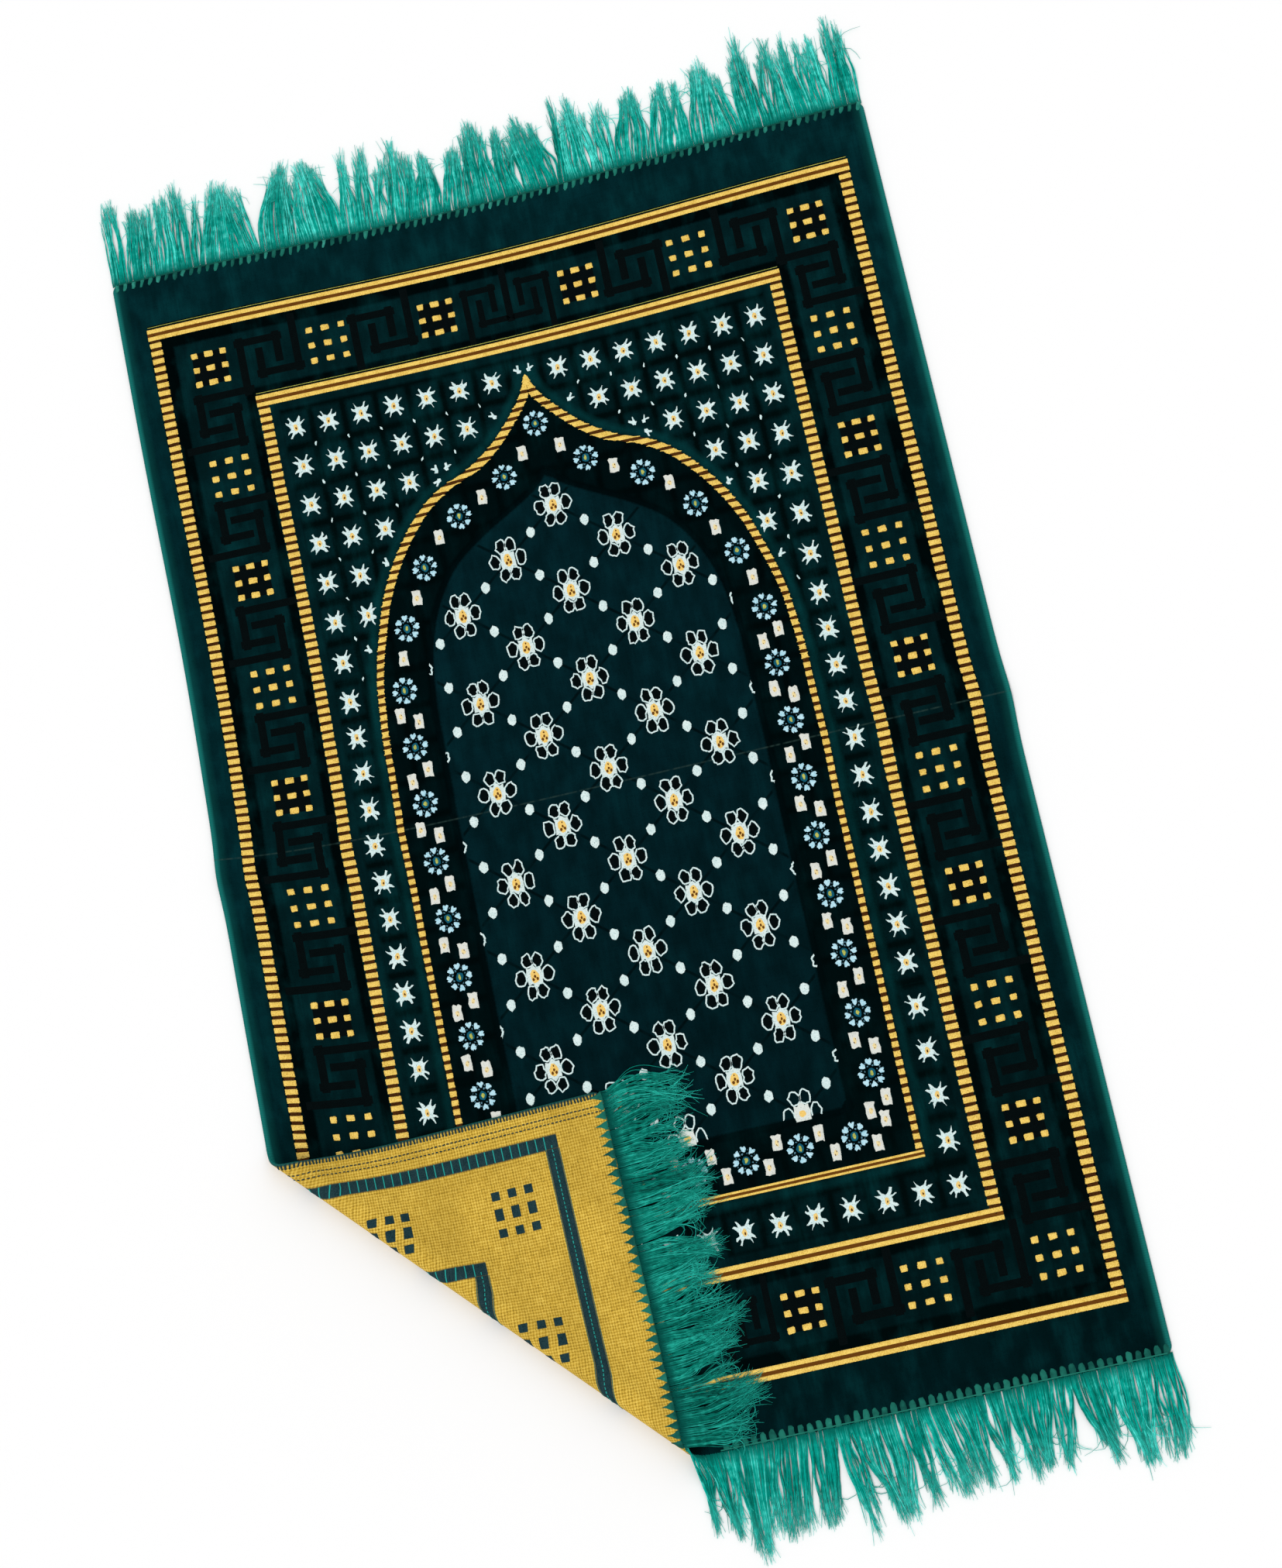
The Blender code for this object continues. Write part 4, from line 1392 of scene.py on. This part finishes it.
SPOT_TUFT = (0.00042, 0.0005, 0.00035)
# Brown dots on a flower's heart: x, y and size.
HEART_DOTS = (
    (-0.0015, -0.0028, 0.0013), (0.0019, -0.0026, 0.0013),
    (0.0002, -0.0004, 0.0012), (0.0002, 0.0030, 0.0008),
)
# Half rings at the field's sides: their places, and half the arc that shows.
SIDE_RING_X = 0.1338
SIDE_RING_ARC = 1.25


def crossings(i, j, clear):
    """The lattice's places by column and row, of which those stay that lie deep enough in the field."""
    places = np.stack([i * FLOWER_STEP[0], FLOWER_TOP - j * FLOWER_STEP[1]], axis=-1).reshape(-1, 2)
    places = places + (PATTERN_X, 0)
    return places[depth_inside(places, field_outline) > clear]


columns, rows = np.meshgrid(np.arange(-2, 3), np.arange(-2, LAST_ROW + 1))
every_other = (columns + rows) % 2 == 0
flowers = crossings(columns[every_other], rows[every_other], FLOWER_CLEAR)
columns, rows = np.meshgrid(np.arange(-3, 3), np.arange(-3, LAST_ROW + 2))
spots = crossings(columns + 0.5, rows + 0.5, SPOT_CLEAR)
cut_flowers = np.array([(0.0, 0.0), (2 * FLOWER_STEP[0], 0.0)])
cut_flowers = cut_flowers + (PATTERN_X, FLOWER_TOP - LAST_ROW * FLOWER_STEP[1])
for x, y, half_x, half_y in RINGS:
    raise_rings(flowers + (x, y), half_x, half_y, RING_BAND)
    hollow_shape = oval(half_x - HOLLOW_IN, half_y - HOLLOW_IN, 9)
    add_motifs("black", hollow_shape, flowers + (x, y), HOLLOW, crown=1.0)
    if y > 0:
        arc = WHOLE_TURN if y > half_y else (-0.5, pi + 0.5)
        raise_rings(cut_flowers + (x, y), half_x, half_y, RING_BAND, arc)
add_motifs("white", BODY, flowers, BODY_TUFT, warm=0.3)
half_body = placed(BODY, cut_flowers, CUT_BODY_TUFT[2])
half_body[..., 1] = np.maximum(half_body[..., 1], FIELD_FOOT + 0.0005)
add_pads("white", half_body, *CUT_BODY_TUFT[:2], warm=0.7)
add_motifs("yellow", oval(0.0036, 0.0034, 8), cut_flowers, CUT_HEART, pale=0.2)
add_motifs("yellow", oval(0.0041, 0.0063, 10), flowers + (0, -0.0004), FLOWER_HEART, pale=0.2)
for x, y, size in HEART_DOTS:
    add_motifs("brown", oval(size, size * 1.3, 6), flowers + (x, y), HEART_DOT, warm=0.9)
add_motifs("white", SPOT, spots, SPOT_TUFT, warm=0.15)
side_cuts = np.array([FLOWER_TOP - j * FLOWER_STEP[1] for j in range(1, LAST_ROW, 2)])
for side_x, facing in ((-1, 0), (1, pi)):
    centres = places_at(PATTERN_X + side_x * SIDE_RING_X, side_cuts)
    raise_rings(centres, 0.0040, 0.0062, 0.0020, (facing - SIDE_RING_ARC, facing + SIDE_RING_ARC))
print(f"field: {len(flowers)} flowers, {len(spots)} spots")

# %% [markdown]
# ### The back of the frames
#
# On the back the gold bars show slate, and their brown lines show as thin teal threads: a ladder on the
# columns, one line along the ribs. Both are raised by a hair, so they stay sharp on the folded corner.

# %% Bands on the back
THREAD_RISE = 0.00045
THREAD_HALF = 0.00055
THREAD_INSET = 0.0006
FOOT_BAND_HALF = 0.0060
BAND_EDGE_HALF = 0.0003
BAND_STEP = 0.002
DASH_PITCH = 0.0034
DASH_SHAPE = pad_shape(0.36 * DASH_PITCH, THREAD_HALF, 0.5)


def back_frame(left, right, foot, head):
    middle = left + BAR / 2
    add_line("back", (middle, foot), (middle, head), BAR / 2, BACK_RISE, BACK, BAND_STEP, tone=0.0)
    centre = foot + BAR / 2
    for shift, half, rise, tone in (
        (0.0, FOOT_BAND_HALF, BACK_RISE, 0.0),
        (-FOOT_BAND_HALF, BAND_EDGE_HALF, THREAD_RISE, 0.35),
        (FOOT_BAND_HALF, BAND_EDGE_HALF, THREAD_RISE, 0.35),
    ):
        ends = (left + BAR, centre + shift), (right, centre + shift)
        add_line("back", *ends, half, rise, BACK, BAND_STEP, tone=tone)
    places = places_at(np.arange(left + 0.8 * BAR, 0, DASH_PITCH), centre)
    add_motifs("back", DASH_SHAPE, places, (THREAD_RISE, 0.0002, 0.0002), side=BACK, tone=1.0)
    for y in np.arange(foot + BAR, head - BAR, PICK):
        ends = (left + THREAD_INSET, y), (left + BAR - THREAD_INSET, y)
        add_line("back", *ends, THREAD_HALF, THREAD_RISE, BACK, BAND_STEP, tone=1.0)


for box in (OUTER_FRAME, INNER_FRAME):
    back_frame(*box)

# %% [markdown]
# The selvage is finished by an overlock: short dark stitches over its edge, and two rows of dashes where
# its chain threads pass through to the back.

# %% Overlock along the left selvage
OVERLOCK = (THREAD_RISE, 0.00015, 0.00018)
# Its rows: how far in from the edge, their pitch, a stitch's half sizes, and its random turn.
OVERLOCK_ROWS = (
    (0.0023, 0.0029, 0.0023, 0.00080, 0.20),
    (0.0105, 0.0036, 0.00050, 0.00120, 0.25),
    (0.0148, 0.0036, 0.00050, 0.00120, 0.25),
)
for inset, pitch, half_x, half_y, turn in OVERLOCK_ROWS:
    rows = np.arange(-HALF_LENGTH + 0.003, -HALF_LENGTH + FOLDED_LEFT, pitch)
    places = places_at(-HALF_WIDTH + inset, rows)
    add_motifs("back", pad_shape(half_x, half_y, 0.5), places, OVERLOCK, turn, side=BACK, tone=0.0)
print(f"back: {len(parts['back'])} groups of pads and lines")

# %% [markdown]
# ### Finishes of the tufts
#
# Cut tufts are matt and a little uneven: each colour gets a lighter and a darker tone, mixed by noise at
# the size of one tuft, and a bump of the same grain. Towards the foot of a pad most colours go over to a
# tone of their edge along a ragged line, because there the pile round them mixes in. The gold also shows
# the fine ticks of its picks.


# %% Tuft finishes
def tuft_finish(name, dark, light, mark=None, other=None, edge=None, ticks=0.0, ragged=0.9):
    """Two tones mixed by grain. Where mark is 1 the colour goes over to other, and towards the foot of a
    tuft's wall, where core falls to 0, it goes over to edge, in a line as uneven as ragged says."""
    pile = Finish(name, Roughness=0.95, Specular_IOR_Level=0.05)
    place, x, y = pile.place()
    grain = pile.streaked(place, 1000.0, 900.0, 1.0)
    level = grain * 0.9 + pile.noise(place, 160.0, 2.0) * 0.5
    if ticks:
        level = level + (x.wave(0.00125) * 0.5 + y.wave(0.0013) * 0.3) * ticks
    colour = pile.mix(level.above(0.66 + 0.3 * ticks, 0.5), dark, light)
    if mark:
        colour = pile.mix(pile.mark(mark), colour, other)
    if edge:
        colour = pile.mix((pile.mark("core") + (grain - 0.5) * ragged).above(0.42, 0.5), edge, colour)
    pile.colour(colour)
    pile.bump(level, 0.0005)
    return pile.material


tuft_finishes = {
    "gold": tuft_finish("gold_pile", rgb(0.560, 0.325, 0.036), rgb(0.975, 0.700, 0.172),
                        edge=rgb(0.130, 0.068, 0.008), ticks=0.4, ragged=1.5),
    "brown": tuft_finish("brown_pile", rgb(0.022, 0.007, 0.0015), rgb(0.075, 0.024, 0.004),
                         "warm", rgb(0.130, 0.044, 0.005)),
    "black": tuft_finish("black_pile", rgb(0.0001, 0.0012, 0.0015), rgb(0.0004, 0.0030, 0.0034),
                         edge=rgb(0.0004, 0.0080, 0.0095)),
    "white": tuft_finish("white_pile", rgb(0.42, 0.62, 0.62), rgb(0.78, 0.92, 0.91),
                         "warm", rgb(0.72, 0.71, 0.64), rgb(0.05, 0.20, 0.21), ragged=2.6),
    "yellow": tuft_finish("yellow_pile", rgb(0.74, 0.40, 0.05), rgb(0.94, 0.64, 0.15),
                          "pale", rgb(0.84, 0.68, 0.34), rgb(0.86, 0.60, 0.34)),
    "olive": tuft_finish("olive_pile", rgb(0.16, 0.24, 0.05), rgb(0.62, 0.60, 0.12)),
    "blue": tuft_finish("pale_blue_pile", rgb(0.26, 0.56, 0.68), rgb(0.60, 0.84, 0.92),
                        "deep", rgb(0.006, 0.095, 0.150), rgb(0.020, 0.170, 0.250), ragged=2.2),
    "back": tuft_finish("slate_back", rgb(0.004, 0.019, 0.024), rgb(0.020, 0.052, 0.060),
                        "tone", rgb(0.022, 0.330, 0.290)),
}

for colour, finish in tuft_finishes.items():
    name = "slate_back_bands" if colour == "back" else f"{colour}_tufts"
    points, faces, woven, marks = gather(parts[colour])
    add_piece(name, points, faces, [finish], "velvet_cloth", woven=woven, **marks)

# %% [markdown]
# ## Overcast stitches
#
# Both cut ends are overcast: a thick emerald thread wraps the edge every 7.5 mm. On the face each wrap is a
# short pad, slanting at the head and round at the foot. On the back it is drawn in to a point. The same
# function that raises the motifs makes them all.

# %% Stitches along the ends
LOCKS = 90
STITCH_PITCH = RUG_WIDTH / LOCKS
STITCH_STRAY = 0.0005
STITCH_WALL = 0.0009
FACE_STITCH_RISE = 0.0008
BACK_STITCH_RISE = 0.0007
BOUND_HALF = 0.0006
BOUND_RISE = 0.0010
BOUND_INSET = (0.004, 0.0006)
stitch_x = -HALF_WIDTH + (np.arange(LOCKS) + 0.5) * STITCH_PITCH
# Outlines in millimetres for the head end, running round with x to the right and y out over the edge.
# They are the head's slanting lozenge, the foot's round loop and the point on the back.
lozenge_shape = np.array([
    (2.9, 0.5), (2.6, -1.8), (1.4, -5.0), (-0.4, -7.2),
    (-2.0, -7.0), (-2.3, -5.2), (-1.6, -2.2), (-1.1, 0.5),
])[::-1] / 1000
loop_shape = np.array([
    (2.6, 0.4), (2.8, -4.4), (2.2, -7.0), (0.6, -8.3),
    (-1.3, -7.8), (-2.5, -5.8), (-2.7, -3.0), (-2.6, 0.4),
])[::-1] / 1000
point_shape = np.array([
    (3.7, 0.8), (3.2, -1.8), (1.6, -5.4), (0.4, -10.2), (-0.9, -5.6), (-3.0, -2.4), (-3.7, 0.8),
])[::-1] / 1000
parts["stitch"] = []
for end, face_shape, palest in ((1, lozenge_shape, 0.8), (-1, loop_shape, 0.6)):
    places = places_at(stitch_x, end * HALF_LENGTH)
    for shape, side, rise in ((face_shape, FACE, FACE_STITCH_RISE), (point_shape, BACK, BACK_STITCH_RISE)):
        uneven = chance.uniform(0.86, 1.12, (LOCKS, 1, 1)) * (0, 1) + (1, 0)
        outlines = (placed(shape * end, places, STITCH_STRAY) - places[:, None]) * uneven
        shades = chance.uniform(0.1, palest, LOCKS)
        add_pads("stitch", outlines + places[:, None], rise, STITCH_WALL, side, shade=shades)
    bound_x, bound_y = HALF_WIDTH - BOUND_INSET[0], end * (HALF_LENGTH - BOUND_INSET[1])
    ends = (-bound_x, bound_y), (bound_x, bound_y)
    add_line("stitch", *ends, BOUND_HALF, BOUND_RISE, shade=0.3 - 0.25 * end)
print(f"stitches: {sum(len(part[0]) for part in parts['stitch'])} points")

# %% [markdown]
# ## Fringe
#
# The fringe is loose spun thread, over two thousand threads along each end. A thread is a thin three-sided
# tube along its own curve. Its root sits in its stitch. Then it runs out with its lock, gathers towards its
# neighbours, waves a little, and settles onto whatever lies under it. The locks keep the courses of the
# solids: the same sweep, and the same lengths but for the few at the right-hand corners, which are longer.

# %% Courses of the locks
PIECE_GAP = 0.0004
HEADING_DEPTH = 0.0040
HEAD_LENGTH = 0.077
FOOT_LENGTH = 0.080
FLAP_LENGTH = 0.075
LENGTH_SPREAD = 0.13
WAVE_WIDE = 0.0042
WAVE_FINE = 0.0007
FALL_LENGTH = 0.026
FLAP_SWEEP = 0.13
FLAP_SWEEP_FOOT = 0.20
ROOT_DEPTH = HALF_LENGTH + PIECE_GAP
LOOP_SHARE = 0.05
LOOP_SHARE_FLAP = 0.20
STRAY_SHARE = 0.03
ROOT_OVERLAP = 0.0012
# The threads at the right-hand corners are longer: by what share, and over how many locks.
CORNER_LONGER = 0.16
CORNER_LOCKS = 3.0
SLITS_PER_LOCK = 3
WIDEST_SLIT = 0.0017
FLAP_REST = CLOTH_THICK + 0.0008
FLOOR_REST = 0.00045
# How many locks cling together, and how strongly.
FLOOR_GROUPS = (1, 5, (0.10, 0.66))
FLAP_GROUPS = (1, 4, (0.12, 0.62))
# The flap's first locks fan out past its corner: how far they turn, and how many.
TOP_LIFT = 0.55
TOP_LOCKS = 4.5


def lock_length(index, length):
    """Locks are uneven: two slow waves along the fringe and a short beat between neighbours."""
    beat = 0.45 * np.sin(1.9 * index) + 0.35 * np.sin(0.73 * index + 1.0) + 0.2 * np.sin(4.1 * index)
    return length * (1 - LENGTH_SPREAD + LENGTH_SPREAD * beat)


def sideways(index, t):
    """How far a lock has wandered at the share t of its length; neighbours wander nearly alike."""
    slow = np.sin(0.21 * index + 0.6) + 0.5 * np.sin(0.47 * index + 2.2)
    return t**1.4 * (WAVE_WIDE * slow + WAVE_FINE * np.sin(2.3 * index)) + 0.0012 * np.sin(pi * t) * slow


def flap_frame():
    """Steps on the floor that a step across the cloth, and one past its foot edge, make on the flap."""
    steps = []
    for step in ((1.0, 0.0), (0.0, -1.0)):
        along = np.dot(step, FOLD_ALONG)
        across = np.dot(step, FOLD_ACROSS)
        steps.append((along - FLAP_SLIP * across) * FOLD_ALONG - across * FOLD_ACROSS)
    return [step / np.linalg.norm(step) for step in steps]


FLAP_X, FLAP_OUT = flap_frame()


# %% Threads
def tuft_groups(low, high, pulls):
    """Neighbouring locks cling together in groups of low to high locks. For each lock: its group's middle
    and half width in locks, and the group's own pull, lean, length and tone, all drawn at random."""
    ends = np.cumsum(chance.integers(low, high + 1, LOCKS))
    group = np.searchsorted(ends, np.arange(LOCKS), side="right")
    count = group[-1] + 1
    members = np.bincount(group)
    middle = np.cumsum(members) - members / 2
    pull, lean = chance.uniform(*pulls, count), chance.normal(0, 0.07, count)
    size, tone = chance.uniform(0.82, 1.10, count), chance.uniform(0, 1, count)
    return np.stack([middle, members / 2, pull, lean, size, tone])[:, group]


def slits(place, t, count, widest):
    """Lens-shaped gaps: near a slit's middle the threads on its two sides bend apart, by a bell curve along
    the thread and an exponential across the fringe."""
    apart = np.zeros(np.broadcast_shapes(place.shape, t.shape))
    for where, far, width, long in zip(
        chance.uniform(0, LOCKS, count), chance.uniform(0.15, 0.75, count),
        chance.uniform(0.25, 1.0, count) * widest, chance.uniform(0.10, 0.26, count),
    ):
        off = place - where
        apart += np.sign(off) * width * np.exp(-np.abs(off) / 0.45) * np.exp(-(((t - far) / long) ** 2))
    return apart


def thread_paths(end, locks, each, length, stations, curl, on_flap=False, drift=0.0, paler=0.0):
    """Centre lines (threads, stations, 3) of the threads of the given locks, with a shade for each.

    First comes how far a thread strays sideways by the share t of its length: the lock's own wander, its
    group's pull and lean, the slits, and a sine of its own. The slope of that gives its heading. A bend
    that grows towards the tip is added, and small steps along the heading give the path, so every thread
    keeps its real length. Its height falls from the root's to that of whatever lies under it."""
    column = np.newaxis
    lock = np.repeat(locks, each)
    threads = len(lock)
    groups = tuft_groups(*FLAP_GROUPS if on_flap else FLOOR_GROUPS)
    middle, half, pull, lean, size, tone = groups[:, lock]
    t = np.linspace(0, 1, stations)[None, :]
    draw = chance.uniform(-1, 1, threads)
    place = lock + 0.5 + 0.49 * draw
    x_root = -HALF_WIDTH + place * STITCH_PITCH
    root_height = chance.uniform(-0.0006, 0.0007, threads)
    root_near = laid(x_root, np.full(threads, end * (ROOT_DEPTH - ROOT_OVERLAP)), root_height)
    root_far = laid(x_root, np.full(threads, end * (ROOT_DEPTH + HEADING_DEPTH)), np.zeros(threads))
    off = (place - middle) / half
    reach = lock_length(lock, length) * size * (1.07 - 0.20 * np.abs(off) ** 1.5)
    reach = reach * chance.triangular(0.86, 1.0, 1.05, threads)
    stray = chance.random(threads) < STRAY_SHARE
    reach = np.where(stray, reach * chance.uniform(1.04, 1.16, threads), reach)
    reach = reach * (1 + CORNER_LONGER * np.exp(-(((LOCKS - place) / CORNER_LOCKS) ** 2)))

    across = sideways(place[:, column] - 0.5, t)
    across = across - ((place - middle) * pull * STITCH_PITCH)[:, column] * smooth((t - 0.36) / 0.64)
    across = across + ((lean + drift) * reach)[:, column] * t**1.3
    parted = slits(place[:, column], t, SLITS_PER_LOCK * LOCKS, WIDEST_SLIT)
    across = across + parted * (smooth(t / 0.45) if on_flap else 1.0)
    swing = (curl * chance.uniform(0.15, 1.0, threads))[:, column]
    phase = chance.uniform(0, 2 * pi, threads)[:, column]
    across = across + swing * t * np.sin(phase + 2 * pi * chance.uniform(0.6, 2.2, threads)[:, column] * t)
    step = reach[:, column] / (stations - 1)
    heading = np.arctan(np.gradient(across, axis=1) / step)
    loops = chance.random(threads) < (LOOP_SHARE_FLAP if on_flap else LOOP_SHARE)
    loops = loops & (place > 1) & (place < LOCKS - 1)
    loop_bend = chance.uniform(1.2, 3.0, threads)
    slight_bend = chance.normal(0.0, 0.36 if on_flap else 0.15, threads)
    bend = np.where(loops, loop_bend * np.sign(chance.random(threads) - 0.4), slight_bend)
    start = chance.uniform(0.35, 0.75, threads)[:, column]
    heading = heading + bend[:, column] * smooth((t - start) / (1 - start)) ** 1.4
    if on_flap:
        near = past_fold(x_root, np.full(threads, -ROOT_DEPTH))[1] - ROLL_LENGTH
        near_fold = 1 - smooth(near / SETTLE_LENGTH)
        upward = np.sign(FLAP_X[1])
        turn = FLAP_SWEEP + FLAP_SWEEP_FOOT * near_fold + chance.normal(0, 0.13, threads)
        lifted = TOP_LIFT * np.exp(-((place / TOP_LOCKS) ** 2)) * chance.uniform(0.2, 1.2, threads)
        heading = heading + upward * (turn[:, column] * t + lifted[:, column] * np.cos(1.1 * pi * t))
        (out_x, out_y), (side_x, side_y) = FLAP_OUT, FLAP_X
        rest = FLAP_REST
    else:
        out_x, out_y, side_x, side_y, rest = 0.0, end, 1.0, 0.0, FLOOR_REST
    run = np.cumsum(np.cos(heading) * step, axis=1) - np.cos(heading[:, :1]) * step
    aside = np.cumsum(np.sin(heading) * step, axis=1) - np.sin(heading[:, :1]) * step
    x = root_far[:, column, 0] + out_x * run + side_x * aside
    y = root_far[:, column, 1] + out_y * run + side_y * aside
    layer = chance.uniform(0.0, 1.0, threads)[:, column] * (0.0022 - 0.0012 * t)
    fall = 1 - smooth(t * reach[:, column] / FALL_LENGTH)
    z = rest + layer + (root_far[:, column, 2] - rest - layer) * fall
    z = z + 0.0008 * chance.uniform(0, 1, threads)[:, column] * np.sin(pi * t) ** 2
    paths = np.concatenate([root_near[:, column], np.stack([x, y, z], axis=-1)], axis=1)
    return paths, 0.22 * tone + 0.78 * chance.uniform(0, 1, threads) + paler


def tubes(paths, radius, taper, sides):
    """Closed tubes along paths (count, stations, 3). Round each point a ring of sides points is set square
    to the path, with its radius shrinking towards the tip; both ends are capped."""
    count, stations = paths.shape[:2]
    tangent = unit(np.gradient(paths, axis=1))
    side = np.cross(tangent, (0.0, 0.0, 1.0))
    side /= np.linalg.norm(side, axis=-1, keepdims=True) + 1e-9
    up = np.cross(side, tangent)
    angle = np.arange(sides) * 2 * pi / sides + pi / 2
    size = radius[:, None] * (1 - (1 - taper) * np.linspace(0, 1, stations)[None] ** 3)
    cosine, sine = np.cos(angle)[:, None], np.sin(angle)[:, None]
    ring = side[:, :, None] * cosine + up[:, :, None] * sine
    points = (paths[:, :, None] + ring * size[:, :, None, None]).reshape(-1, 3)
    here = np.arange(sides)[None]
    there = (here + 1) % sides
    row = np.arange(stations - 1)[:, None] * sides
    quads = np.stack([row + here, row + sides + here, row + sides + there, row + there], axis=-1)
    first = (np.arange(count) * stations * sides)[:, None, None]
    quads = (first + quads.reshape(-1, 4)).reshape(-1, 4)
    root_cap = np.arange(sides)
    tip_cap = (stations - 1) * sides + np.arange(sides)[::-1]
    caps = (first + np.stack([root_cap, tip_cap])).reshape(-1, sides)
    return points, [quads, caps]


# %% [markdown]
# ### The thread's finish
#
# Spun viscose has some lustre, so the threads differ in tone from one to the next, from deep to pale
# emerald, and the light runs along them. The tone of a thread is an attribute. Fine noise breaks it up.


# %% Thread finish
def thread_finish(name, dark, middle, light, root=None):
    """Three tones by the thread's own shade; at its root, where along is 0, it goes over to root. Towards
    its tip it goes a little paler, a painted highlight where the bright floor shines through the thin ends.
    """
    yarn = Finish(name, Roughness=0.75, Specular_IOR_Level=0.08)
    shade = yarn.mark("shade")
    place = yarn.node("ShaderNodeTexCoord", {}, {}, "Object")
    slub = yarn.noise(place, 210.0, 2.0)
    level = shade * 0.75 + slub * 0.55 - 0.15
    colour = yarn.mix(level.above(0.34, 0.36), dark, middle)
    colour = yarn.mix(level.above(0.72, 0.26), colour, light)
    if root:
        colour = yarn.mix(yarn.mark("along").above(0.10, 0.14), root, colour)
    # Painted highlight: the thread goes paler towards its tip.
    tip = yarn.mark("along").above(0.72, 0.28)
    colour = yarn.mix(tip * 0.20, colour, light)
    yarn.colour(colour)
    yarn.bump(yarn.noise(place, 2400.0, 1.0), 0.0001)
    return yarn.material


fringe_finish = thread_finish(
    "emerald_thread", rgb(0.001, 0.205, 0.158), rgb(0.001, 0.520, 0.430), rgb(0.190, 0.980, 0.910),
    root=rgb(0.001, 0.220, 0.175),
)
# Painted shade: the same yarn in darker tones where it lies on the dark rug, which gives it less light than
# the pale floor.
shaded_flap_thread_finish = thread_finish(
    "emerald_thread_shaded_on_rug", rgb(0.001, 0.075, 0.058), rgb(0.003, 0.290, 0.222), rgb(0.040, 0.640, 0.530),
    root=rgb(0.001, 0.110, 0.090),
)
stitch_finish = thread_finish(
    "overcast_thread", rgb(0.003, 0.070, 0.055), rgb(0.012, 0.170, 0.125), rgb(0.040, 0.300, 0.240),
)

# %% Both fringes
THREAD_RADIUS = 0.00050
FLAP_THREAD_RADIUS = 0.00042
THREAD_TAPER = 0.28
THREAD_SIDES = 3
TURNED = 0.55


def add_threads(name, paths, shade, finish, thickness=THREAD_RADIUS):
    """One piece of threads. Each keeps its shade; along runs from 0 at its root to 1 at its tip."""
    count, stations = paths.shape[:2]
    radius = thickness * chance.uniform(0.75, 1.25, count)
    points, faces = tubes(paths, radius, THREAD_TAPER, THREAD_SIDES)
    shades = np.repeat(shade, stations * THREAD_SIDES)
    along = np.tile(np.repeat(np.linspace(0, 1, stations), THREAD_SIDES), count)
    return add_piece(name, points, faces, [finish], "fringe_yarn", shade=shades, along=along)


turned_share = past_fold(stitch_x, np.full(LOCKS, -ROOT_DEPTH))[1] / ROLL_LENGTH
every = np.arange(LOCKS)
flap_locks = every[turned_share > TURNED]
floor_locks = every[turned_share <= TURNED]
head_paths = thread_paths(1, every, 25, HEAD_LENGTH, 12, 0.0022)
head_threads = add_threads("fringe_threads_head", *head_paths, fringe_finish)
foot_paths = thread_paths(-1, floor_locks, 27, FOOT_LENGTH, 12, 0.0018, drift=0.06, paler=-0.12)
foot_threads = add_threads("fringe_threads_foot", *foot_paths, fringe_finish)
flap_paths = thread_paths(-1, flap_locks, 34, FLAP_LENGTH, 18, 0.0032, on_flap=True)
flap_threads = add_threads("fringe_threads_flap", *flap_paths, shaded_flap_thread_finish, FLAP_THREAD_RADIUS)
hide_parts("fringe_head")
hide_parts("fringe_foot")

points, faces, woven, marks = gather(parts["stitch"])
stitches = add_piece("overcast_stitches", points, faces, [stitch_finish], "fringe_yarn", **marks)

# %% [markdown]
# ## The cloth, and the sizes
#
# The rug is a sheet of cloth, cut 0.68 m by 1.10 m, lying folded over at one corner. Its tufts, stitches
# and threads are the pieces on it. Last, the solid model's box and this one's are printed side by side.

visual_box = [list(corner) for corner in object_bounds()]
sizes = {"cad": cad_box, "visual": visual_box}
dumps(sizes)
print("sizes:", sizes)
